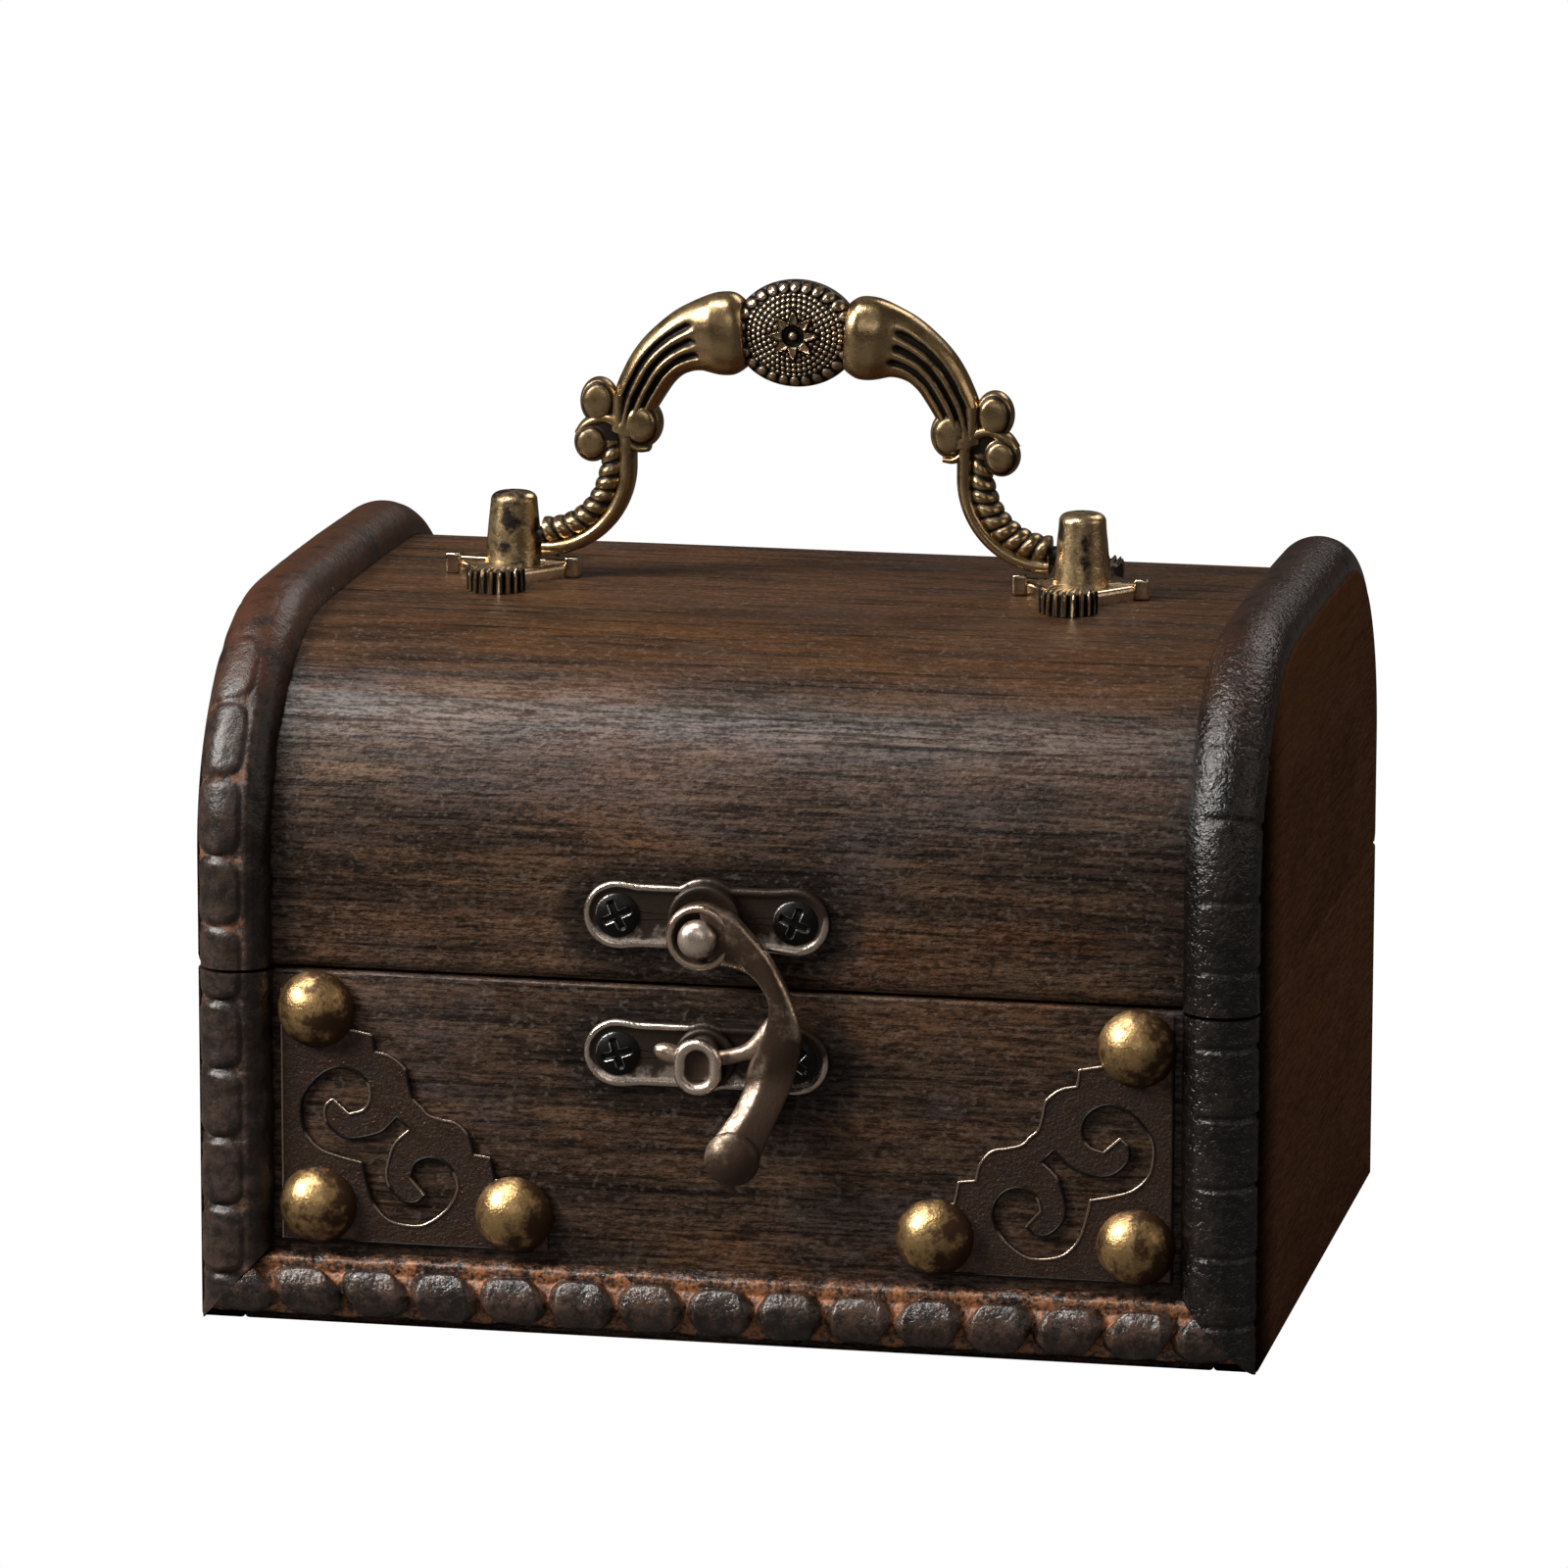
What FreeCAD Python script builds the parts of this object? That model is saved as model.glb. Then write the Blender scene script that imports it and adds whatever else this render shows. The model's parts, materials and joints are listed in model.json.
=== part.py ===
import FreeCAD, Part
import math
import os

# A small treasure chest box with a domed lid, a swing-hook latch and a bail handle.
# Lengths are millimetres. X runs along the front, Y from front to back and Z up.
# The origin is the middle of the underside.

# Box
box_length = 120.0
box_depth = 90.0
body_height = 40.5
wall_thickness = 5.0
end_thickness = 5.0
base_thickness = 3.0

# Lid: straight walls, round shoulders and a slightly crowned top
seam_gap = 0.4
lid_height = 36.6
shoulder_radius = 24.0
crown_radius = 900.0
skin_thickness = 3.5

# Half-round mouldings on the front corners, the foot and the lid's ends
moulding_width = 9.0
moulding_proud = 4.0

# Stamped corner plates: outlines in shares of a leg, from the inner corner of the mouldings,
# for the half above the diagonal; the other half mirrors it
corner_leg = 31.0
corner_thickness = 0.4
corner_edge_share = 0.023
corner_step_shares = ((0.152, 1.0), (0.271, 0.887), (0.277, 0.806), (0.358, 0.79), (0.366, 0.729))
corner_wave_shares = ((0.366, 0.729), (0.426, 0.714), (0.477, 0.671), (0.49, 0.615), (0.506, 0.563))
corner_middle_share = 0.535
scroll_outer_shares = ((0.316, 0.316), (0.232, 0.335), (0.161, 0.361), (0.106, 0.419), (0.09, 0.506),
                       (0.108, 0.568), (0.165, 0.635), (0.235, 0.668), (0.298, 0.655), (0.339, 0.613),
                       (0.348, 0.561), (0.324, 0.513), (0.268, 0.494))
scroll_inner_shares = ((0.21, 0.548), (0.181, 0.516), (0.184, 0.465), (0.226, 0.421), (0.274, 0.406),
                       (0.335, 0.416), (0.394, 0.439), (0.448, 0.494))

# Dome nails
nail_inset = 4.7
nail_reach = 27.2
nail_head_radius = 4.4
nail_head_height = 3.1
nail_shank_radius = 0.7
nail_shank_length = 4.0

# Latch plates, one on the lid and one on the box
latch_offset = -1.9
latch_rise = 7.7
keeper_drop = 7.6
plate_thickness = 0.8
plate_screw_spacing = 20.0
plate_lobe_radius = 3.7
plate_web_height = 7.0
latch_middle_radius = 4.6
keeper_middle_radius = 4.0
boss_edge = 0.5
latch_boss_height = 1.6
keeper_boss_height = 1.0

# Cross-head screws of the latch plates
screw_head_radius = 2.5
screw_head_height = 0.8
screw_shank_radius = 1.0
screw_shank_length = 3.4
recess_length_share = 0.62
recess_width_share = 0.2
recess_depth_share = 0.7

# Rivet that the hook turns on
rivet_drop = 1.3
rivet_radius = 1.3
rivet_head_radius = 2.25
rivet_head_height = 1.6
turning_clearance = 0.05
side_clearance = 0.15

# Swing hook: outline in shares of its drop from the rivet to the tab's lower edge
hook_drop = 26.9
hook_thickness = 2.4
hook_eye_radius = 3.8
hook_outer_shares = ((0.0, 0.142), (0.056, 0.138), (0.136, 0.1), (0.21, 0.031), (0.286, -0.063),
                     (0.365, -0.204), (0.413, -0.334), (0.416, -0.447), (0.387, -0.58), (0.334, -0.702),
                     (0.29, -0.803), (0.268, -0.892))
hook_inner_shares = ((0.074, -0.855), (0.156, -0.796), (0.212, -0.747), (0.238, -0.676), (0.238, -0.602),
                     (0.245, -0.52), (0.279, -0.394), (0.298, -0.305), (0.279, -0.238), (0.231, -0.164),
                     (0.156, -0.118), (0.07, -0.115))
hook_bend_shares = (0.63, 0.84)
tab_centre_share = (0.16, -0.894)
tab_radius = 2.85
tab_disc_thickness = 1.3
tab_dome_height = 1.4
spur_radius = 13.8
spur_width = 1.8
spur_thickness = 1.6
spur_start = -50.0
spur_end = -112.0

# Keeper post: a slot, open upwards, takes the hook's spur
post_width = 4.4
post_tall = 6.5
post_corner_radius = 2.1
post_proud = 6.0
slot_clearance = 0.45
dimple_radius = 1.3
dimple_depth = 0.6

# Butt hinges on the back
hinge_from_end = 28.0
hinge_length = 16.0
hinge_leaf_width = 9.0
hinge_leaf_thickness = 0.7
knuckle_radius = 1.2
knuckle_relief = 0.25
knuckle_gap = 0.2
knuckle_stand_off = 0.3
hinge_pin_radius = 0.6
hinge_screw_spacing = 10.0
hinge_screw_head_radius = 1.5
hinge_screw_head_height = 0.5
hinge_screw_shank_radius = 0.7
hinge_screw_shank_length = 3.0

# Handle posts and their rosettes
handle_offset = -0.9
handle_spacing = 66.0
handle_post_height = 9.7
handle_post_foot_radius = 3.7
handle_post_top_radius = 2.75
handle_post_round = 1.0
rosette_thickness = 1.6
rosette_half_length = 7.0
rosette_half_depth = 9.0
rosette_shell_radius = 4.0
rosette_shell_reach = 8.3
rosette_ear_length = 1.8
rosette_ear_width = 2.8

# Screws that hold the posts from inside the lid
handle_screw_radius = 1.5
handle_screw_bite = 2.4
handle_screw_head_radius = 3.2
handle_screw_head_height = 1.6

# Bail: it turns in the posts on two short pins
pivot_rise = 4.5
bail_pin_radius = 1.2
bail_pin_length = 2.0
bail_end_gap = 0.3
bail_arm_radius = 2.1
bail_waist = 20.7
bail_arm_height = 12.4
scroll_ball_radius = 2.05
petal_radius = 1.95
curl_radius = 2.3

# Places on the bail in shares of the medallion's height above the pivot
bail_height = 24.6
scroll_ball_share = (0.951, 0.472)
petal_shares = ((0.919, 0.63), (0.919, 0.691))
curl_shares = ((0.699, 0.537), (0.691, 0.585))
arch_shares = ((0.797, 0.512), (0.764, 0.642), (0.715, 0.748), (0.659, 0.837), (0.585, 0.907),
               (0.484, 0.959), (0.358, 0.984), (0.252, 0.992), (0.187, 0.996))
arch_width_shares = (0.13, 0.179, 0.211, 0.236, 0.26, 0.313, 0.39, 0.362, 0.35)
arch_depth = 3.4
arch_collar_depth = 5.0
arch_round_share = 0.95
medallion_radius = 6.1
medallion_rim_depth = 3.6
medallion_dome_height = 0.7

# One overrun serves all cuts
overrun = 1.0

# Turns in degrees
quarter_turn = 90.0
full_turn = 360.0

# Places that the sizes above give
half_length = box_length / 2
half_depth = box_depth / 2
lid_foot = body_height + seam_gap
lid_top = lid_foot + lid_height
front = -half_depth
inner_length = half_length - end_thickness
latch_height = lid_foot + latch_rise
keeper_height = body_height - keeper_drop
rivet_height = latch_height - rivet_drop
hook_back = plate_thickness + latch_boss_height + side_clearance
hinge_axis_y = half_depth + knuckle_stand_off + knuckle_radius
hinge_axis_z = body_height + seam_gap / 2
pivot_height = lid_top + pivot_rise
SIDES = (-1, 1)

Vector = FreeCAD.Vector
FORWARD = Vector(0, -1, 0)
BACKWARD = Vector(0, 1, 0)
UP = Vector(0, 0, 1)
DOWN = Vector(0, 0, -1)


def block(x_range, y_range, z_range):
    """A rectangular board between three pairs of limits."""
    low = Vector(min(x_range), min(y_range), min(z_range))
    high = Vector(max(x_range), max(y_range), max(z_range))
    size = high - low
    return Part.makeBox(size.x, size.y, size.z, low)


def prism(points, length):
    """A closed run of points, filled and pushed along a vector."""
    wire = Part.makePolygon(list(points) + [points[0]])
    return Part.Face(wire).extrude(length)


def rod(radius, start, end):
    """A round bar between two points."""
    return Part.makeCylinder(radius, (end - start).Length, start, end - start)


def dome(radius, height, base, direction):
    """A cap of a ball: radius at its base, height along the direction."""
    ball_radius = (radius ** 2 + height ** 2) / (2 * height)
    centre = base - direction * (ball_radius - height)
    latitude = math.degrees(math.asin((ball_radius - height) / ball_radius))
    return Part.makeSphere(ball_radius, centre, direction, latitude, quarter_turn, full_turn)


def arc(start, middle, end):
    return Part.Arc(start, middle, end).toShape()


def curve(points):
    """A smooth curve through the points."""
    line = Part.BSplineCurve()
    line.interpolate(points)
    return line.toShape()


def joined(shapes):
    """One solid from pieces that overlap or share faces."""
    return shapes[0].fuse(list(shapes[1:]))


def placed(shape, base, direction):
    """Stand a shape that was made along +Z at the origin on a base, along a direction."""
    shape.Placement = FreeCAD.Placement(base, FreeCAD.Rotation(UP, direction))
    return shape


def screw(head_radius, head_height, shank_radius, shank_length, base, direction):
    """A domed cross-head screw whose head stands on the base."""
    head = dome(head_radius, head_height, Vector(), UP)
    half_slot = head_radius * recess_length_share
    half_width = head_radius * recess_width_share / 2
    slot_floor = head_height * (1 - recess_depth_share)
    slot_heights = (slot_floor, head_height + overrun)
    slots = [block((-half_slot, half_slot), (-half_width, half_width), slot_heights),
             block((-half_width, half_width), (-half_slot, half_slot), slot_heights)]
    shank = rod(shank_radius, Vector(), DOWN * shank_length)
    return placed(joined([head, shank]).cut(slots), base, direction)


def lid_line(offset, x):
    """Edges of the lid's outline at an X, moved outwards by the offset, from front foot to back foot."""
    crown_centre = lid_top - crown_radius
    shoulder_y = half_depth - shoulder_radius
    between = crown_radius - shoulder_radius
    shoulder_z = crown_centre + math.sqrt(between ** 2 - shoulder_y ** 2)
    lean = math.atan2(shoulder_z - crown_centre, shoulder_y)
    middle = lean / 2
    shoulder = shoulder_radius + offset

    def on_shoulder(side, angle):
        reach = shoulder_y + shoulder * math.cos(angle)
        return Vector(x, side * reach, shoulder_z + shoulder * math.sin(angle))

    feet = [Vector(x, side * (half_depth + offset), lid_foot) for side in SIDES]
    starts = [on_shoulder(side, 0) for side in SIDES]
    middles = [on_shoulder(side, middle) for side in SIDES]
    ends = [on_shoulder(side, lean) for side in SIDES]
    crown = Vector(x, 0, lid_top + offset)
    return [Part.makeLine(feet[0], starts[0]), arc(starts[0], middles[0], ends[0]),
            arc(ends[0], crown, ends[1]), arc(ends[1], middles[1], starts[1]),
            Part.makeLine(starts[1], feet[1])]


def ends_of(edges):
    """First and last point of a run of edges that starts at the front foot."""
    wire = Part.Wire(edges)
    return wire.OrderedVertexes[0].Point, wire.OrderedVertexes[-1].Point


def half_round(centre, across, outward):
    """Half-round section of a moulding: its flat back lies on the centre, along across."""
    left = centre - across * (moulding_width / 2)
    right = centre + across * (moulding_width / 2)
    crest = centre + outward * moulding_proud
    return Part.Wire([arc(left, crest, right), Part.makeLine(right, left)])


# Wooden pieces

def base_panel():
    inner_depth = half_depth - wall_thickness
    return block((-inner_length, inner_length), (-inner_depth, inner_depth), (0, base_thickness))


def long_panel(side, holes):
    """Front (-1) or back (1) panel between the end panels."""
    faces = (side * half_depth, side * (half_depth - wall_thickness))
    panel = block((-inner_length, inner_length), faces, (0, body_height))
    return panel.cut(holes)


def end_panel(side):
    return block((side * half_length, side * inner_length), (-half_depth, half_depth), (0, body_height))


def lid_end(side):
    outline = lid_line(0, side * inner_length)
    first, last = ends_of(outline)
    face = Part.Face(Part.Wire(outline + [Part.makeLine(last, first)]))
    return face.extrude(Vector(side * end_thickness, 0, 0))


def lid_skin(holes):
    outer = lid_line(0, -inner_length)
    inner = lid_line(-skin_thickness, -inner_length)
    first, last = ends_of(outer)
    inner_first, inner_last = ends_of(inner)
    feet = [Part.makeLine(last, inner_last), Part.makeLine(inner_first, first)]
    face = Part.Face(Part.Wire(Part.__sortEdges__(outer + inner + feet)))
    return face.extrude(Vector(2 * inner_length, 0, 0)).cut(holes)


def mitred(points, strip):
    """The part of a front moulding inside an outline drawn on the front."""
    return strip.common(prism(points, FORWARD * (moulding_proud + overrun)))


def foot_moulding():
    section = half_round(Vector(-half_length, front, moulding_width / 2), UP, FORWARD)
    strip = Part.Face(section).extrude(Vector(box_length, 0, 0))
    inner = half_length - moulding_width
    corners = [Vector(-half_length, front, 0), Vector(half_length, front, 0),
               Vector(inner, front, moulding_width), Vector(-inner, front, moulding_width)]
    return mitred(corners, strip)


def corner_moulding(side):
    centre = Vector(side * (half_length - moulding_width / 2), front, 0)
    strip = Part.Face(half_round(centre, Vector(1, 0, 0), FORWARD)).extrude(UP * body_height)
    outer = side * half_length
    inner = side * (half_length - moulding_width)
    corners = [Vector(outer, front, 0), Vector(outer, front, body_height),
               Vector(inner, front, body_height), Vector(inner, front, moulding_width)]
    return mitred(corners, strip)


def arched_moulding(side):
    """The half-round section carried over the lid from its front foot to its back foot."""
    x = side * (half_length - moulding_width / 2)
    path = Part.Wire(lid_line(0, x))
    section = half_round(Vector(x, front, lid_foot), Vector(1, 0, 0), FORWARD)
    return path.makePipeShell([section], True, False)


# Corner plates and nails

def on_corner(side, along, above, proud):
    """A point on the front, measured from the inner corner of the mouldings."""
    x = side * (half_length - moulding_width - along)
    return Vector(x, front - proud, moulding_width + above)


def nail_places(side):
    reaches = ((nail_inset, nail_inset), (nail_inset, nail_reach), (nail_reach, nail_inset))
    return [on_corner(side, along, above, corner_thickness) for along, above in reaches]


def corner_plate(side):
    """A plate with stepped and waved edges, pierced by a pair of scrolls that share a stem."""
    def at(share):
        return on_corner(side, corner_leg * share[0], corner_leg * share[1], 0)

    def mirrored(shares):
        return [share[::-1] for share in shares[::-1]]

    middle = (corner_middle_share, corner_middle_share)
    wave = list(corner_wave_shares) + [middle] + mirrored(corner_wave_shares)
    inner = corner_edge_share
    run = mirrored(corner_step_shares) + [(1, inner), (inner, inner), (inner, 1)]
    run += list(corner_step_shares)
    edges = [curve([at(share) for share in wave])]
    edges += [Part.makeLine(at(first), at(second)) for first, second in zip(run, run[1:])]
    plate = Part.Face(Part.Wire(Part.__sortEdges__(edges))).extrude(FORWARD * corner_thickness)
    turns = [scroll_outer_shares, scroll_inner_shares]
    turns += [mirrored(turn) for turn in turns[::-1]]
    bends = [[at(share) for share in turn] for turn in turns]
    rim = [curve(bend) for bend in bends]
    rim += [Part.makeLine(first[-1], second[0]) for first, second in zip(bends, bends[1:])]
    opening = Part.Face(Part.Wire(Part.__sortEdges__(rim))).extrude(FORWARD * corner_thickness)
    return plate.cut([opening] + [nail_hole(place) for place in nail_places(side)])


def nail_hole(place):
    return rod(nail_shank_radius, place, place + BACKWARD * nail_shank_length)


def dome_nail(place):
    head = dome(nail_head_radius, nail_head_height, place, FORWARD)
    return joined([head, nail_hole(place)])


# Latch

def on_front(across, height, proud):
    """A point on the front face, across from the latch's middle."""
    return Vector(latch_offset + across, front - proud, height)


def plate_screw_places(height):
    half = plate_screw_spacing / 2
    return [on_front(side * half, height, plate_thickness) for side in SIDES]


def latch_screw(place):
    return screw(screw_head_radius, screw_head_height, screw_shank_radius, screw_shank_length,
                 place, FORWARD)


def screw_hole(place):
    return rod(screw_shank_radius, place, place + BACKWARD * screw_shank_length)


def two_lobed_plate(height, middle_radius, boss_height):
    """A plate with a lobe round each screw, a wider middle and a raised boss."""
    half = plate_screw_spacing / 2
    lobes = [rod(plate_lobe_radius, on_front(side * half, height, 0), place)
             for side, place in zip(SIDES, plate_screw_places(height))]
    web_heights = (height - plate_web_height / 2, height + plate_web_height / 2)
    web = block((latch_offset - half, latch_offset + half), (front, front - plate_thickness),
                web_heights)
    middle = rod(middle_radius, on_front(0, height, 0), on_front(0, height, plate_thickness))
    boss_top = on_front(0, height, plate_thickness + boss_height)
    boss = rod(middle_radius - boss_edge, on_front(0, height, 0), boss_top)
    plate = joined(lobes + [web, middle, boss])
    return plate.cut([screw_hole(place) for place in plate_screw_places(height)])


def rivet_shank():
    head_base = hook_back + hook_thickness + side_clearance
    return rod(rivet_radius, on_front(0, rivet_height, 0), on_front(0, rivet_height, head_base))


def latch_plate():
    return two_lobed_plate(latch_height, latch_middle_radius, latch_boss_height).cut(rivet_shank())


def latch_rivet():
    head_base = on_front(0, rivet_height, hook_back + hook_thickness + side_clearance)
    return joined([rivet_shank(), dome(rivet_head_radius, rivet_head_height, head_base, FORWARD)])


def on_hook(share, proud):
    return on_front(hook_drop * share[0], rivet_height + hook_drop * share[1], proud)


def hook_side_view(tab_back):
    """Block with the hook's side view: flat behind, then bent forward to the finger tab."""
    neck_front = tab_back + tab_disc_thickness
    face = hook_back + hook_thickness
    bend_top, bend_foot = [rivet_height - hook_drop * share for share in hook_bend_shares]
    top = rivet_height + hook_eye_radius + overrun
    foot = rivet_height - hook_drop - overrun
    line = [(hook_back, top), (face, top), (face, bend_top), (neck_front, bend_foot), (neck_front, foot),
            (tab_back, foot), (tab_back, bend_foot), (hook_back, bend_top)]
    start = -hook_drop
    points = [on_front(start, height, proud) for proud, height in line]
    return prism(points, Vector(2 * hook_drop, 0, 0))


def spur():
    """The spur is an arc about the rivet, so that it slides through the keeper post."""
    back = hook_back + (hook_thickness - spur_thickness) / 2

    def at(radius, angle):
        turn = math.radians(angle)
        return on_front(radius * math.cos(turn), rivet_height + radius * math.sin(turn), back)

    outer = spur_radius + spur_width / 2
    inner = spur_radius - spur_width / 2
    middle = (spur_start + spur_end) / 2
    tip = spur_end - math.degrees(spur_width / spur_radius / 2)
    edges = [arc(at(outer, spur_start), at(outer, middle), at(outer, spur_end)),
             arc(at(outer, spur_end), at(spur_radius, tip), at(inner, spur_end)),
             arc(at(inner, spur_end), at(inner, middle), at(inner, spur_start)),
             Part.makeLine(at(inner, spur_start), at(outer, spur_start))]
    return Part.Face(Part.Wire(edges)).extrude(FORWARD * spur_thickness)


def latch_hook():
    tab_back = post_proud + slot_clearance
    outer = [on_hook(share, 0) for share in hook_outer_shares]
    inner = [on_hook(share, 0) for share in hook_inner_shares]
    outline = [curve(outer), Part.makeLine(outer[-1], inner[0]), curve(inner),
               Part.makeLine(inner[-1], outer[0])]
    reach = tab_back + tab_disc_thickness + overrun
    arm = Part.Face(Part.Wire(outline)).extrude(FORWARD * reach).common(hook_side_view(tab_back))
    eye = rod(hook_eye_radius, on_front(0, rivet_height, hook_back),
              on_front(0, rivet_height, hook_back + hook_thickness))
    tab_front = on_hook(tab_centre_share, tab_back + tab_disc_thickness)
    tab = [rod(tab_radius, on_hook(tab_centre_share, tab_back), tab_front),
           dome(tab_radius, tab_dome_height, tab_front, FORWARD)]
    bore = rod(rivet_radius + turning_clearance, on_front(0, rivet_height, 0),
               on_front(0, rivet_height, reach))
    return joined([arm, eye, spur()] + tab).cut(bore)


def keeper_plate():
    return two_lobed_plate(keeper_height, keeper_middle_radius, keeper_boss_height)


def keeper_post():
    """A rounded post on the keeper's boss, slotted from above for the spur."""
    foot = plate_thickness + keeper_boss_height
    low = (-post_width / 2, keeper_height - post_tall / 2)
    body = block((latch_offset + low[0], latch_offset - low[0]), (front - foot, front - post_proud),
                 (low[1], low[1] + post_tall))
    long_edges = [edge for edge in body.Edges if edge.BoundBox.YLength > overrun]
    body = body.makeFillet(post_corner_radius, long_edges)
    spur_back = hook_back + (hook_thickness - spur_thickness) / 2
    slot_floor = rivet_height - spur_radius - spur_width / 2 - slot_clearance
    slot_back = front - spur_back + slot_clearance
    slot_front = front - spur_back - spur_thickness - slot_clearance
    slot = block((latch_offset - post_width, latch_offset + post_width), (slot_back, slot_front),
                 (slot_floor, keeper_height + post_tall))
    ball_radius = (dimple_radius ** 2 + dimple_depth ** 2) / (2 * dimple_depth)
    ball_proud = post_proud + ball_radius - dimple_depth
    dimple = Part.makeSphere(ball_radius, on_front(0, keeper_height, ball_proud))
    return body.cut([slot, dimple])


# Hinges

def hinge_middle(side):
    return side * (half_length - hinge_from_end)


def knuckle_spans(side, upper):
    """X limits of a leaf's knuckles: two end ones on the upper leaf, a middle one on the lower."""
    middle = hinge_middle(side)
    half = hinge_length / 2
    quarter = hinge_length / 4
    if not upper:
        return [(middle - quarter, middle + quarter)]
    near = quarter + knuckle_gap
    return [(middle - half, middle - near), (middle + near, middle + half)]


def hinge_screw_places(side, upper):
    direction = 1 if upper else -1
    root = knuckle_radius + knuckle_relief
    height = hinge_axis_z + direction * (root + hinge_leaf_width) / 2
    middle = hinge_middle(side)
    face = half_depth + hinge_leaf_thickness
    return [Vector(middle + end * hinge_screw_spacing / 2, face, height) for end in SIDES]


def hinge_screw(place):
    return screw(hinge_screw_head_radius, hinge_screw_head_height, hinge_screw_shank_radius,
                 hinge_screw_shank_length, place, BACKWARD)


def hinge_screw_hole(place):
    return rod(hinge_screw_shank_radius, place, place + FORWARD * hinge_screw_shank_length)


def hinge_leaf(side, upper):
    """A leaf with its knuckles; the pin is tight in the lower leaf and free in the upper."""
    direction = 1 if upper else -1
    middle = hinge_middle(side)
    half = hinge_length / 2
    depth = (half_depth, half_depth + hinge_leaf_thickness)
    root = hinge_axis_z + direction * (knuckle_radius + knuckle_relief)
    edge = hinge_axis_z + direction * hinge_leaf_width
    pieces = [block((middle - half, middle + half), depth, (root, edge))]
    for span in knuckle_spans(side, upper):
        pieces.append(block(span, depth, (hinge_axis_z, root)))
        ends = [Vector(x, hinge_axis_y, hinge_axis_z) for x in span]
        pieces.append(rod(knuckle_radius, ends[0], ends[1]))
    bore = hinge_pin_radius + (turning_clearance if upper else 0)
    reach = half + overrun
    bore_ends = [Vector(middle + end * reach, hinge_axis_y, hinge_axis_z) for end in SIDES]
    holes = [hinge_screw_hole(place) for place in hinge_screw_places(side, upper)]
    return joined(pieces).cut([rod(bore, bore_ends[0], bore_ends[1])] + holes)


def hinge_pin(side):
    half = hinge_length / 2
    ends = [Vector(hinge_middle(side) + end * half, hinge_axis_y, hinge_axis_z) for end in SIDES]
    return rod(hinge_pin_radius, ends[0], ends[1])


# Handle

def handle_x(side):
    return handle_offset + side * handle_spacing / 2


def post_cone(side):
    return Part.makeCone(handle_post_foot_radius, handle_post_top_radius, handle_post_height,
                         Vector(handle_x(side), 0, lid_top))


def post_radius_at_pivot():
    taper = handle_post_foot_radius - handle_post_top_radius
    return handle_post_foot_radius - taper * pivot_rise / handle_post_height


def screw_shank_in_lid(side):
    x = handle_x(side)
    foot = Vector(x, 0, lid_top - skin_thickness)
    return rod(handle_screw_radius, foot, Vector(x, 0, lid_top + handle_screw_bite))


def handle_post(side):
    """A tapered post with a rounded top, a bore for the bail's pin and a hole for the screw."""
    cone = post_cone(side)
    rim = [edge for edge in cone.Edges if edge.BoundBox.ZMin > pivot_height]
    post = cone.makeFillet(handle_post_round, rim)
    mouth = Vector(handle_x(side) - side * (handle_post_foot_radius + overrun), 0, pivot_height)
    floor = post_radius_at_pivot() - bail_pin_length
    inside = Vector(handle_x(side) - side * floor, 0, pivot_height)
    bore = rod(bail_pin_radius + turning_clearance, mouth, inside)
    return post.cut([bore, screw_shank_in_lid(side)])


def handle_rosette(side):
    """A cast plate round the post's foot: lozenge, front and back shells, and two square ears."""
    x = handle_x(side)
    lift = UP * rosette_thickness
    corners = [Vector(x - rosette_half_length, 0, lid_top), Vector(x, -rosette_half_depth, lid_top),
               Vector(x + rosette_half_length, 0, lid_top), Vector(x, rosette_half_depth, lid_top)]
    half_ear = rosette_ear_length / 2
    half_width = rosette_ear_width / 2
    heights = (lid_top, lid_top + rosette_thickness)
    pieces = [prism(corners, lift)]
    for end in SIDES:
        shell = Vector(x, end * rosette_shell_reach, lid_top)
        pieces.append(rod(rosette_shell_radius, shell, shell + lift))
        ear_middle = x + end * rosette_half_length
        ear_ends = (ear_middle - half_ear, ear_middle + half_ear)
        pieces.append(block(ear_ends, (-half_width, half_width), heights))
    return joined(pieces).cut(post_cone(side))


def handle_screw(side):
    sag = handle_screw_head_radius ** 2 / (2 * (crown_radius - skin_thickness))
    seat = Vector(handle_x(side), 0, lid_top - skin_thickness - sag)
    length = skin_thickness + sag + handle_screw_bite
    return screw(handle_screw_head_radius, handle_screw_head_height, handle_screw_radius, length,
                 seat, DOWN)


def on_bail(across, above, side):
    """A point in the bail's plane: across from its middle and above its pivot."""
    return Vector(handle_offset + side * across, 0, pivot_height + above)


def bail_share(share, side):
    return on_bail(bail_height * share[0], bail_height * share[1], side)


def bail_arm(side):
    """Pin, then a round arm that leaves the post level and bends upwards."""
    start = handle_spacing / 2 - post_radius_at_pivot() - bail_end_gap
    bend = start - bail_waist
    bow = bend / math.sqrt(2)
    turn = arc(on_bail(start, 0, side), on_bail(bail_waist + bend - bow, bend - bow, side),
               on_bail(bail_waist, bend, side))
    rise = Part.makeLine(on_bail(bail_waist, bend, side), on_bail(bail_waist, bail_arm_height, side))
    section = Part.makeCircle(bail_arm_radius, on_bail(start, 0, side), Vector(1, 0, 0))
    arm = Part.Wire([turn, rise]).makePipeShell([Part.Wire(section)], True, False)
    pin_end = on_bail(start + bail_end_gap + bail_pin_length, 0, side)
    pin = rod(bail_pin_radius, on_bail(start, 0, side), pin_end)
    return [arm, pin]


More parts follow.
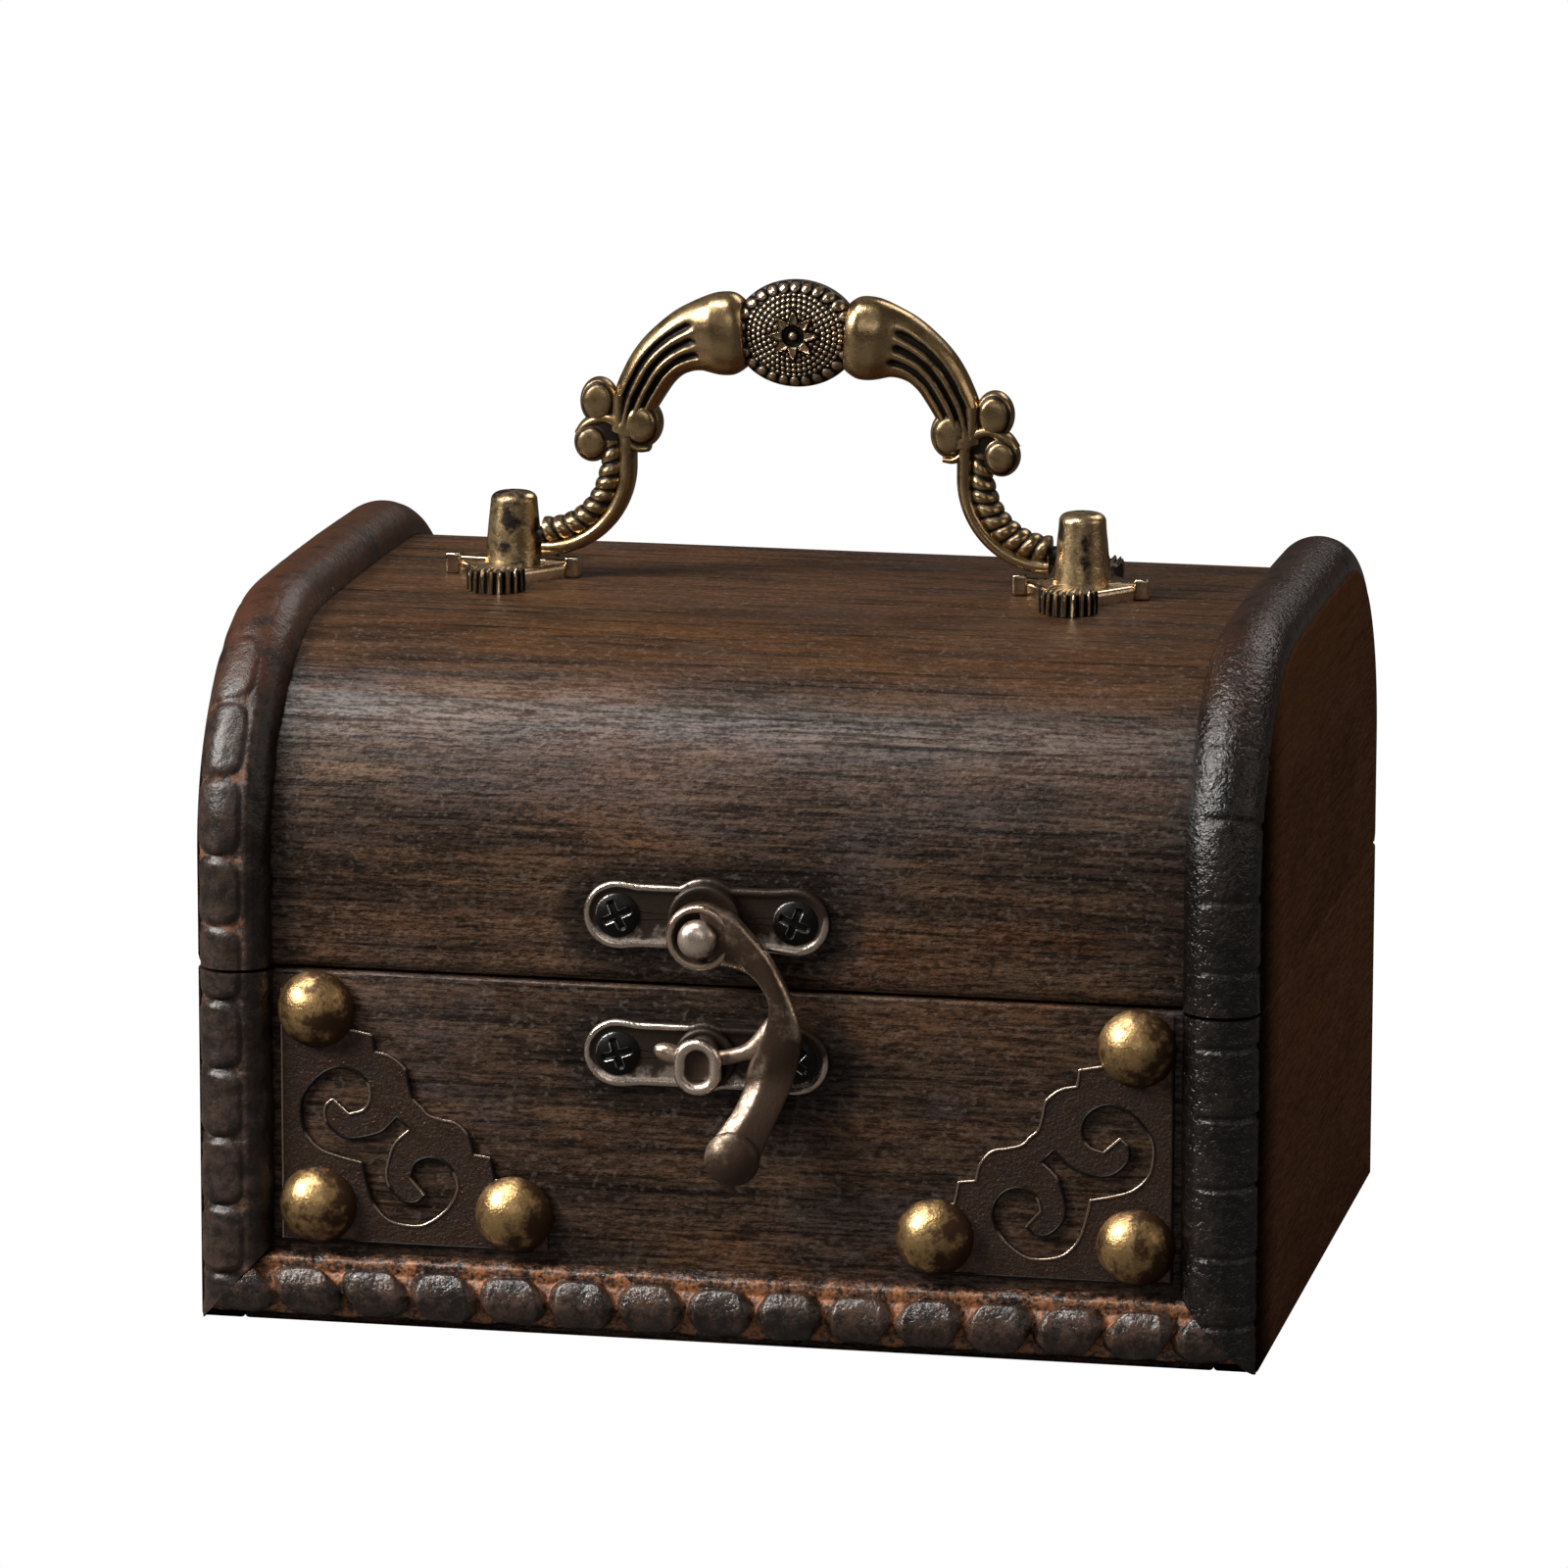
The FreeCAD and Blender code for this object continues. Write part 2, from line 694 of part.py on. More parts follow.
def bail_arch(side):
    """The fluted arch: oval sections that widen from the arm's top to the medallion."""
    middles = [bail_share(share, side) for share in arch_shares]
    widest = max(arch_width_shares)
    sections = []
    for index, middle in enumerate(middles):
        before = middles[max(index - 1, 0)]
        after = middles[min(index + 1, len(middles) - 1)]
        along = (after - before).normalize()
        across = along.cross(BACKWARD)
        share = arch_width_shares[index]
        width = bail_height * share
        swell = share / widest
        depth = min(arch_depth + (arch_collar_depth - arch_depth) * swell, width * arch_round_share)
        oval = Part.Ellipse(middle + across * (width / 2), middle + BACKWARD * (depth / 2), middle)
        sections.append(Part.Wire(oval.toShape()))
    return Part.makeLoft(sections, True, False)


def handle_bail():
    balls = [(scroll_ball_share, scroll_ball_radius)]
    balls += [(share, petal_radius) for share in petal_shares]
    balls += [(share, curl_radius) for share in curl_shares]
    pieces = []
    for side in SIDES:
        pieces += bail_arm(side) + [bail_arch(side)]
        pieces += [Part.makeSphere(radius, bail_share(share, side)) for share, radius in balls]
    middle = on_bail(0, bail_height, 1)
    half_rim = BACKWARD * (medallion_rim_depth / 2)
    pieces.append(rod(medallion_radius, middle - half_rim, middle + half_rim))
    pieces += [dome(medallion_radius, medallion_dome_height, middle + half_rim, BACKWARD),
               dome(medallion_radius, medallion_dome_height, middle - half_rim, FORWARD)]
    return joined(pieces)


# All pieces by name; a list is a group of like fasteners

nails = {side: nail_places(side) for side in SIDES}
keeper_screws = plate_screw_places(keeper_height)
latch_screws = plate_screw_places(latch_height)
hinge_screws = {}
for upper in (False, True):
    hinge_screws[upper] = [place for side in SIDES for place in hinge_screw_places(side, upper)]
nail_holes = [nail_hole(place) for side in SIDES for place in nails[side]]
skin_holes = [screw_hole(place) for place in latch_screws]
skin_holes += [hinge_screw_hole(place) for place in hinge_screws[True]]
skin_holes += [screw_shank_in_lid(side) for side in SIDES]

parts = {
    "base_panel": base_panel(),
    "front_panel": long_panel(-1, nail_holes + [screw_hole(place) for place in keeper_screws]),
    "back_panel": long_panel(1, [hinge_screw_hole(place) for place in hinge_screws[False]]),
    "foot_moulding": foot_moulding(),
    "lid_skin": lid_skin(skin_holes),
    "keeper_plate": keeper_plate(),
    "keeper_post": keeper_post(),
    "keeper_screws": [latch_screw(place) for place in keeper_screws],
    "latch_plate": latch_plate(),
    "latch_rivet": latch_rivet(),
    "latch_screws": [latch_screw(place) for place in latch_screws],
    "latch_hook": latch_hook(),
    "hinge_pins": [hinge_pin(side) for side in SIDES],
    "lower_hinge_screws": [hinge_screw(place) for place in hinge_screws[False]],
    "upper_hinge_screws": [hinge_screw(place) for place in hinge_screws[True]],
    "handle_screws": [handle_screw(side) for side in SIDES],
    "handle_bail": handle_bail(),
}
for side, name in zip(SIDES, ("left", "right")):
    parts[name + "_end_panel"] = end_panel(side)
    parts[name + "_corner_moulding"] = corner_moulding(side)
    parts[name + "_corner_plate"] = corner_plate(side)
    parts[name + "_dome_nails"] = [dome_nail(place) for place in nails[side]]
    parts[name + "_lid_end"] = lid_end(side)
    parts[name + "_lid_moulding"] = arched_moulding(side)
    parts[name + "_hinge_lower_leaf"] = hinge_leaf(side, False)
    parts[name + "_hinge_upper_leaf"] = hinge_leaf(side, True)
    parts[name + "_handle_post"] = handle_post(side)
    parts[name + "_handle_rosette"] = handle_rosette(side)

os.makedirs("parts", exist_ok=True)
for name, shape in parts.items():
    if isinstance(shape, list):
        shape = Part.makeCompound(shape)
    shape.exportStep("parts/" + name + ".step")
    state = "valid" if shape.isValid() else "NOT VALID"
    print(name, len(shape.Solids), "solids", round(shape.Volume, 1), "mm3", state)
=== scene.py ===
# %% [markdown]
# # A small treasure chest box
#
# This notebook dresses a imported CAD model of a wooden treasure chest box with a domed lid.
# The CAD model fixes every size and every joint. Here the plain solids get their looks:
# beaded mouldings, stained wood, a worn brass handle and a copper latch.
# All shapes below are written in millimetres and scaled to Blender's metres at the end.

# %% Load the frame
import json
import math

import bmesh
import bpy
import numpy as np
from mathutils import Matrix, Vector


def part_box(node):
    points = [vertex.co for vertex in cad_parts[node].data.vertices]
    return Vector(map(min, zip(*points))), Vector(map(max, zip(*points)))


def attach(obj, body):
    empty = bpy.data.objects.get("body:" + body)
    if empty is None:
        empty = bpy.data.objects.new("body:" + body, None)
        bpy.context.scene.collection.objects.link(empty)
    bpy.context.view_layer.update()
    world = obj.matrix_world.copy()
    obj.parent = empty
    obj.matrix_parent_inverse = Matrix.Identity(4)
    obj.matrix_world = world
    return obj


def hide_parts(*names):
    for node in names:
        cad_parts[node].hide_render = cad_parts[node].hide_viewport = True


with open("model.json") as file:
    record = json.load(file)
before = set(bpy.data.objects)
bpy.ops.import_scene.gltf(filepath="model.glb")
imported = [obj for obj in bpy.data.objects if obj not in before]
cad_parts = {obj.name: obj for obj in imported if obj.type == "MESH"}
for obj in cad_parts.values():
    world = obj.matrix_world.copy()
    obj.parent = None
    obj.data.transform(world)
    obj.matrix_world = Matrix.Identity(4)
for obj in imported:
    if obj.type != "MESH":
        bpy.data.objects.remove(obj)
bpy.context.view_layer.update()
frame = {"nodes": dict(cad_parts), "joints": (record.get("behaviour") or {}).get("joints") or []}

# %% [markdown]
# ## Sizes from the frame
#
# The CAD nodes know where everything sits, so boards, strips, plates and posts take their sizes
# from those nodes' boxes. The joints give the places of the rivet and of the handle's pivot. The
# same numbers could be typed in again, but then a change to the CAD model would leave the looks
# behind. Only what the solids don't have, such as the pitch of the beads, becomes a new number
# later on.

# %% Sizes from the frame
MM = 1000.0
FULL_TURN, QUARTER = 2.0 * np.pi, np.pi / 2.0
SIDES = ((-1.0, "left"), (1.0, "right"))


def extent(node):
    """Lowest and highest corner of a CAD node in millimetres, to a thousandth."""
    return np.round(MM * np.array(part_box(node)), 3).tolist()


def centre(node):
    """Middle of a CAD node's box in millimetres."""
    return [(low + high) / 2.0 for low, high in zip(*extent(node))]


def pivot(name):
    """Place of a joint in millimetres."""
    places = {joint["name"]: joint["pos_m"] for joint in frame["joints"]}
    return [round(MM * part, 3) for part in places[name]]


HALF_X = extent("right_end_panel")[1][0]
INNER_X, _, BODY_TOP = extent("front_panel")[1]
BOARD = HALF_X - INNER_X
HALF_Y = -extent("front_panel")[0][1]
STRIP_WIDTH = extent("foot_moulding")[1][2]
HALF_WIDTH = STRIP_WIDTH / 2.0
PROUD = -extent("foot_moulding")[0][1] - HALF_Y
LID_FOOT, LID_TOP = (corner[2] for corner in extent("lid_skin"))
LATCH_X, _, LATCH_Z = centre("latch_screws")
KEEPER_Z = centre("keeper_screws")[2]
RIVET_Z = pivot("hook_swing")[2]
HANDLE_X, _, PIVOT_Z = pivot("handle_swing")
POST_X = centre("right_handle_rosette")[0] - HANDLE_X
print("box", 2.0 * HALF_X, "by", 2.0 * HALF_Y, "mm, lid from", LID_FOOT, "to", LID_TOP, "mm")

# %% [markdown]
# ## Shader arithmetic
#
# A material in Blender is a graph of nodes. It could be wired by hand in the Shader Editor, or node
# by node in Python, and both are slow to read once sums are involved. So this small class wraps one
# socket and lets ordinary arithmetic build the graph. `node` adds any other kind of node from its
# settings and its sockets.

# %% Shader values
class Value:
    """A socket of a node tree. Sums, products and powers of Values add Math nodes."""

    def __init__(self, tree, socket):
        self.tree = tree
        self.socket = socket

    def node(self, kind, inputs, output=0, **settings):
        """Any node: its settings first, then a value or a link for each named socket."""
        made = self.tree.nodes.new("ShaderNode" + kind)
        for name, setting in settings.items():
            setattr(made, name, setting)
        for name, source in inputs.items():
            if isinstance(source, Value):
                self.tree.links.new(source.socket, made.inputs[name])
            else:
                made.inputs[name].default_value = source
        return Value(self.tree, made.outputs[output])

    def math(self, operation, first, second):
        return self.node("Math", {0: first, 1: second}, operation=operation)

    def __add__(self, other):
        return self.math("ADD", self, other)

    def __radd__(self, other):
        return self.math("ADD", other, self)

    def __sub__(self, other):
        return self.math("SUBTRACT", self, other)

    def __rsub__(self, other):
        return self.math("SUBTRACT", other, self)

    def __mul__(self, other):
        return self.math("MULTIPLY", self, other)

    def __rmul__(self, other):
        return self.math("MULTIPLY", other, self)

    def __truediv__(self, other):
        return self.math("DIVIDE", self, other)

    def __rtruediv__(self, other):
        return self.math("DIVIDE", other, self)

    def __pow__(self, other):
        return self.math("POWER", self, other)

    def __rpow__(self, other):
        return self.math("POWER", other, self)

    def ramp(self, low, high):
        """0 up to low, 1 from high on and a smooth step between. Low may be the larger one."""
        return self.node("MapRange", {"Value": self, "From Min": low, "From Max": high},
                         interpolation_type="SMOOTHSTEP")

    def noise(self, scale, detail=4.0, roughness=0.6):
        """Noise over this place, with one scale per axis in features per metre."""
        stretched = self.node("VectorMath", {0: self, 1: scale}, operation="MULTIPLY")
        return self.node("TexNoise", {"Vector": stretched, "Scale": 1.0, "Detail": detail,
                                      "Roughness": roughness})

    def mix(self, low, high):
        """A colour that goes from low to high as this value goes from 0 to 1."""
        ends = [(*end, 1.0) if isinstance(end, tuple) else end for end in (low, high)]
        return self.node("Mix", {0: self, 6: ends[0], 7: ends[1]}, output=2, data_type="RGBA")

    def scaled(self, factor):
        """This colour made darker or lighter by a factor."""
        return self.node("VectorMath", {0: self, 3: factor}, operation="SCALE")

    def bump(self, depth, strength):
        """A normal that is tilted as if this value were a height of some millimetres."""
        return self.node("Bump", {"Height": self, "Strength": strength, "Distance": depth / MM})


def material(name, constants):
    """A Principled material, its shader node and its Object coordinates."""
    made = bpy.data.materials.new(name)
    made.use_nodes = True
    tree = made.node_tree
    shader = tree.nodes["Principled BSDF"]
    for socket, constant in constants.items():
        shader.inputs[socket].default_value = constant
    place = Value(tree, tree.nodes.new("ShaderNodeTexCoord").outputs["Object"])
    return made, shader, place


def wire(shader, sockets):
    """Link Values to the shader's sockets."""
    for name, value in sockets.items():
        value.tree.links.new(value.socket, shader.inputs[name])


print("shader arithmetic ready")

# %% [markdown]
# ## Dirt and painted shade
#
# The front is darker beside the mouldings, around the two latch plates and towards the right.
# Around the plates this is partly dirt and partly a painted shadow of the hook and the plates.
# Towards the right it is painted shade, where less light falls. A mask for it could be painted as an
# image. Here it is a formula on the place alone, because that needs no image and follows the CAD
# sizes. A little cloud noise is added to the distances, so that the edge of the darkening wanders.

# %% Dirt and painted shade on the front
LATCH_HALO = (16.2, 6.4)
HALO_DROP = 0.4
WANDER = 8.0
FRONT_FACE = (3.0 * BOARD - HALF_Y, BOARD - HALF_Y)
BESIDE_STRIPS = (HALF_X - 14.0, HALF_X - 8.5)
RIGHT_HALF = (-20.0, 50.0)


def dirt_and_painted_shade(side, behind, height, cloud):
    """Share of the colour that dirt and painted shade leave, from places in millimetres.

    It darkens beside the mouldings, and as painted shade towards the right. Around a latch plate, as
    dirt and a painted shadow of the plate and the hook, it follows the fourth power of the distance
    along the plate plus the square of the distance above it."""
    wander = WANDER * (cloud - 0.5)
    across = (side - LATCH_X) / LATCH_HALO[0]
    clear = 1.0
    # Dirt and a painted shadow of the hook and plates darken the wood close around each latch plate.
    for level in (LATCH_Z, KEEPER_Z):
        above = (height - (level - HALO_DROP) + wander) / LATCH_HALO[1]
        clear = clear * (across ** 4.0 + above * above).ramp(0.7, 1.8)
    edge = 1.0 - 0.45 * ((side * side) ** 0.5 + wander).ramp(*BESIDE_STRIPS)
    # Painted shade: darker towards the right, where less light falls.
    fade = 1.0 - 0.22 * side.ramp(*RIGHT_HALF)
    return fade * (1.0 - behind.ramp(*FRONT_FACE) * (1.0 - edge * (0.22 + 0.78 * clear)))


# Around the latch plates the darkening is dirt and a painted shadow.
print("dirt within", LATCH_HALO, "mm of the latch plates")

# %% [markdown]
# ## Stained wood
#
# The boards are thin wood, stained unevenly to look like walnut and then waxed. A picture of wood
# could be wrapped round them, but it would stretch over the lid and repeat. Noise that is stretched
# a long way along the grain has no seams, and each board names its own axis. Broad clouds of stain
# come first, then rusty and ashen patches, streaks, dark pores, fine flecks and a few grains of
# dust. Wax lies on the flecks and not in the pores, so a clear coat of uneven weight carries the
# sheen.

# %% Wood materials
ASH = (0.04, 0.031, 0.031)
RUST = (0.094, 0.037, 0.013)
HONEY = (0.082, 0.0335, 0.011)
DUST = (0.24, 0.2, 0.175)
LID_WARMS = (LID_TOP - 19.5, LID_TOP - 2.5)
CROWN_DULLS = (LID_TOP - 5.5, LID_TOP - 0.5)
PAINT_EDGE, PAINT_WANDER = (-HALF_Y, STRIP_WIDTH - HALF_Y), 6.0


def wood(name, grain, dark, light, ash, rusty, warm, contrast, flecks, gloss, painted=0.0):
    """Stained boards with the grain along axis 0, 1 or 2, painted black near the front if asked."""
    def along(length, fine):
        """Features per metre along the grain and across it, as a scale for each axis."""
        return tuple(length if axis == grain else fine for axis in range(3))

    made, shader, place = material(name, {"Specular IOR Level": 0.2 * gloss, "Coat Roughness": 0.37})
    side, behind, height = (place.node("SeparateXYZ", {0: place}, output=axis) * MM for axis in range(3))
    cloud = place.noise(along(13.0, 38.0), 3.0) * 0.6 + place.noise(along(50.0, 130.0), 3.0) * 0.4
    rust = place.noise(along(26.0, 70.0), 4.0, 0.65).ramp(0.54, 0.72)
    grey = place.noise(along(34.0, 62.0), 4.0, 0.6).ramp(0.5, 0.66)
    streak = place.noise(along(30.0, 560.0), 4.0)
    pore = place.noise(along(34.0, 1250.0), 2.0, 0.5).ramp(0.58, 0.68)
    dash = place.noise(along(190.0, 2200.0), 3.0, 0.7)
    speck = place.noise(along(1100.0, 2900.0), 3.0, 0.85)
    glint = place.noise(along(1350.0, 2300.0), 2.0, 0.6)
    dust = place.noise(along(1300.0, 1700.0), 1.0, 0.5).ramp(0.58, 0.72)
    fleck = (speck * 0.5 + dash * 0.5).ramp(0.4, 0.61)

    # Towards the crown the stain turns warmer and its flecks fainter: partly a real stain and partly painted
    # light, for the light that falls on the lid's top.
    upper = height.ramp(*LID_WARMS)
    stain = (cloud * 0.55 + streak * 0.45).ramp(0.5 - contrast, 0.5 + contrast).mix(dark, light)
    patches = (rust * 0.7).mix((grey * 0.5).mix(stain, ash), rusty)
    golden = (upper * cloud.ramp(0.34, 0.6) * 0.9 * streak.ramp(0.3, 0.55)).mix(patches, warm)
    paint = 1.0 - painted * (1.0 - (behind + PAINT_WANDER * (cloud - 0.5)).ramp(*PAINT_EDGE))
    shade = (1.0 + flecks * (1.0 - 0.5 * upper) * (fleck - 0.5)) * (1.0 - 0.4 * flecks * pore)
    # Dirt and painted shade darken the stain here: painted shadow around the latch plates, painted shade
    # towards the right.
    clean = golden.scaled(shade * paint * dirt_and_painted_shade(side, behind, height, cloud))
    polish = (0.08 + 1.3 * fleck) * (0.7 + 0.6 * cloud) * (1.0 - 0.8 * pore)
    relief = streak * 0.1 + dash * 0.25 + glint * 0.65 - pore * 0.08
    wire(shader, {"Base Color": (dust * flecks * 0.11).mix(clean, DUST),
                  "Roughness": 0.5 - 0.12 * fleck - 0.06 * cloud,
                  "Coat Weight": gloss * polish * (1.0 - 0.45 * height.ramp(*CROWN_DULLS)),
                  "Normal": relief.bump(0.26, 0.9)})
    return made


print("wood recipe ready")

# %% Walnut boards
walnut = wood("walnut_long", 0, dark=(0.02, 0.0104, 0.0062), light=(0.083, 0.045, 0.0243), ash=ASH,
              rusty=RUST, warm=HONEY, contrast=0.13, flecks=1.4, gloss=0.6)
walnut_end = wood("walnut_end", 1, dark=(0.098, 0.046, 0.025), light=(0.15, 0.073, 0.042),
                  ash=(0.09, 0.043, 0.026), rusty=(0.15, 0.062, 0.028), warm=(0.145, 0.066, 0.033),
                  contrast=0.25, flecks=0.6, gloss=0.0, painted=0.85)
walnut_inside = wood("walnut_inside", 0, dark=(0.05, 0.032, 0.02), light=(0.11, 0.074, 0.048), ash=ASH,
                     rusty=RUST, warm=HONEY, contrast=0.25, flecks=0.9, gloss=0.3)
print("wood:", walnut.name, walnut_end.name, walnut_inside.name)

# %% [markdown]
# The mouldings wear the same stain, nearly black, over a gritty reddish ground that shows where the
# carving is deep. The Geometry node's Pointiness could find the hollows, but it depends on the
# mesh. It is surer to let the builder of each strip store a number called relief on every point: 1
# on the beads and 0 in the hollows. The material reads that number. Above 1 it marks a plain flank
# that stays blacker than the rest.

# %% Moulding materials
EARTH = (0.38, 0.148, 0.054)
REDDISH = (0.056, 0.0185, 0.0068)
RUBBED_TOP = (LID_TOP - 11.5, LID_TOP + 1.5)


def moulding_wood(name, dark, light, ground, top, gloss, shine, crumple, fine):
    """Stain over a ground that shows in the hollows, and a second tone where the lid is rubbed on top."""
    made, shader, place = material(name, {"Specular IOR Level": gloss})
    relief = place.node("Attribute", {}, output="Fac", attribute_name="relief")
    height = place.node("SeparateXYZ", {0: place}, output=2) * MM
    blot = place.noise((260.0, 260.0, 260.0), 5.0, 0.65)
    crackle = place.noise((fine, fine, fine), 2.0, 0.6)
    grit = place.noise((1900.0, 1900.0, 1900.0), 3.0, 0.75)
    hollow = (1.0 - relief) + (blot - 0.5) * 0.7 + (crackle - 0.5) * 0.5 + (grit - 0.5) * 0.9
    gloom = 1.0 - 0.75 * relief.ramp(1.05, 1.3)
    stain = (blot * 0.4 + crackle * 0.3 + grit * 0.3).ramp(0.41, 0.6).mix(dark, light)
    earth = (grit * 0.65 + crackle * 0.35).ramp(0.4, 0.57).mix(dark, ground)
    rub_and_painted_light = (height.ramp(*RUBBED_TOP) * blot.ramp(0.3, 0.55) * 0.9).mix(stain, top)
    lumps = blot * 0.35 + crackle * 0.4 + grit * 0.25
    wire(shader, {"Base Color": hollow.ramp(0.42, 0.98).mix(rub_and_painted_light.scaled(gloom), earth),
                  "Roughness": shine + 0.35 * hollow.ramp(0.3, 0.9) + 0.1 * (grit - 0.5),
                  "Normal": lumps.bump(1.2 * crumple, 0.9)})
    return made


beaded = moulding_wood("moulding_rubbed", dark=(0.006, 0.0037, 0.0029), light=(0.072, 0.039, 0.0255),
                       ground=EARTH, top=REDDISH, gloss=0.75, shine=0.2, crumple=0.55, fine=620.0)
dusky = moulding_wood("moulding_dusky", dark=(0.0075, 0.0045, 0.0033), light=(0.042, 0.0235, 0.0165),
                      ground=(0.17, 0.066, 0.027), top=REDDISH, gloss=0.5, shine=0.38, crumple=0.3,
                      fine=620.0)
black = moulding_wood("moulding_black", dark=(0.003, 0.0023, 0.002), light=(0.018, 0.0132, 0.0113),
                      ground=(0.014, 0.0085, 0.006), top=(0.03, 0.0135, 0.0088), gloss=0.5, shine=0.15,
                      crumple=0.55, fine=1300.0)
print("mouldings:", beaded.name, dusky.name, black.name)

# %% [markdown]
# ## Old metal
#
# Antique finishes are a bright metal under a dark patina, which handling rubs off the high spots.
# Each metal could have a graph of its own. One recipe is enough, since only the colours and the
# wear differ: the relief number and some noise decide how much bright metal shows. Pieces that keep
# their CAD shape have no relief number, and there noise alone decides.

# %% Metal materials
def metal(name, bright, patina, rub, blotch, polish, cast, has_relief=True):
    """Rubbed metal: rub lowers the height at which it shines, blotch sets the stains.

    Polish is the roughness of the bright metal and cast is the depth of its uneven skin."""
    made, shader, place = material(name, {"Specular IOR Level": 0.5})
    stain = place.noise((420.0, 420.0, 420.0), 4.0, 0.6)
    grain = place.noise((2600.0, 2600.0, 2600.0), 3.0, 0.65)
    height = (stain - 0.5) * blotch + (grain - 0.5) * 0.25 + rub
    if has_relief:
        height = height + place.node("Attribute", {}, output="Fac", attribute_name="relief") - 0.5
    shown = height.ramp(0.28, 0.72)
    wire(shader, {"Base Color": shown.mix(patina, bright), "Metallic": 0.55 + 0.45 * shown,
                  "Roughness": polish + 0.22 * (1.0 - shown) + 0.12 * (grain - 0.5),
                  "Normal": (stain * 0.4 + grain * 0.6).bump(0.25 * cast, 0.6)})
    return made


print("metal recipe ready")

# %% Brass, copper and steel
handle_brass = metal("handle_brass", (0.44, 0.305, 0.155), (0.011, 0.0066, 0.0034),
                     rub=0.33, blotch=1.0, polish=0.22, cast=0.3)
post_brass = metal("post_brass", (0.62, 0.45, 0.24), (0.012, 0.0075, 0.004),
                   rub=0.33, blotch=1.3, polish=0.22, cast=0.6)
relief_brass = metal("relief_brass", (0.54, 0.41, 0.275), (0.012, 0.0078, 0.0052),
                     rub=0.33, blotch=0.7, polish=0.17, cast=0.3)
nail_brass = metal("nail_brass", (0.55, 0.355, 0.155), (0.05, 0.0215, 0.0068),
                   rub=0.4, blotch=1.5, polish=0.29, cast=0.8)
latch_copper = metal("latch_copper", (0.64, 0.53, 0.45), (0.03, 0.0195, 0.0135),
                     rub=0.22, blotch=1.2, polish=0.2, cast=0.5)
hook_copper = metal("hook_copper", (0.6, 0.455, 0.35), (0.054, 0.031, 0.019),
                    rub=0.24, blotch=0.8, polish=0.22, cast=0.5)
rubbed_copper = metal("rubbed_copper", (0.82, 0.68, 0.575), (0.05, 0.029, 0.018),
                      rub=0.3, blotch=0.7, polish=0.27, cast=0.5)
corner_bronze = metal("corner_bronze", (0.105, 0.066, 0.049), (0.034, 0.0195, 0.0135),
                      rub=0.5, blotch=1.6, polish=0.28, cast=2.2, has_relief=False)
corner_edge = metal("corner_edge", (0.42, 0.33, 0.26), (0.006, 0.004, 0.003),
                    rub=0.42, blotch=0.5, polish=0.24, cast=0.5)
hinge_brass = metal("hinge_brass", (0.33, 0.23, 0.11), (0.035, 0.024, 0.014),
                    rub=0.6, blotch=0.8, polish=0.3, cast=0.5, has_relief=False)
screw_black = metal("screw_black", (0.026, 0.025, 0.024), (0.004, 0.0037, 0.0034),
                    rub=0.5, blotch=0.9, polish=0.16, cast=0.7, has_relief=False)
screw_worn_and_painted_glints = metal("screw_worn_and_painted_glints", (0.5, 0.48, 0.45), (0.0035, 0.0032, 0.003),
                   rub=0.24, blotch=0.5, polish=0.14, cast=0.5)
pin_steel = metal("pin_steel", (0.42, 0.42, 0.43), (0.12, 0.11, 0.1),
                  rub=0.7, blotch=0.4, polish=0.24, cast=0.3, has_relief=False)
print("metals ready")

# %% [markdown]
# ## Surfaces from grids
#
# Pieces could be modelled by hand, or cut and bevelled with modifiers. Here every new piece is a
# grid of points computed by whole-array arithmetic, because the formula for a bead or a flute is
# short and one number changes it. These helpers make rings, places, soft steps and gentle
# unevenness.

# %% Grid helpers
def around(count):
    """Angles of a closed ring of points."""
    return np.arange(count) * FULL_TURN / count


def circle(angle):
    """Cosine and sine side by side."""
    return np.stack([np.cos(angle), np.sin(angle)], axis=-1)


def stack(*parts):
    """Points from arrays of X, Y and Z that are stretched to one shape."""
    return np.stack(np.broadcast_arrays(*parts), axis=-1)


def smooth(low, high, value):
    """The smooth step of a whole array."""
    share = np.clip((value - low) / (high - low), 0.0, 1.0)
    return share * share * (3.0 - 2.0 * share)


def rough_field(seed, *places):
    """Gentle unevenness between about -1 and 1: a sum of nine sines in seeded directions."""
    random = np.random.default_rng(seed)
    waves = random.normal(0.0, 0.75, (9, len(places)))
    phases = random.uniform(0.0, FULL_TURN, 9)
    total = sum(np.sin(sum(w * p for w, p in zip(wave, places)) + phase)
                for wave, phase in zip(waves, phases))
    return total / 5.0


print("grid helpers ready")

# %% [markdown]
# A grid whose columns close into a ring is a tube. A fan of triangles fills each of its ends, or a
# strip of quads where the ring is folded flat, as the lid's bent skin is. The ends could stay open
# where nobody sees them, but a closed piece can also be measured and printed. `piece` joins such
# patches into one object, hangs it on a CAD body and hides the node that it stands for.

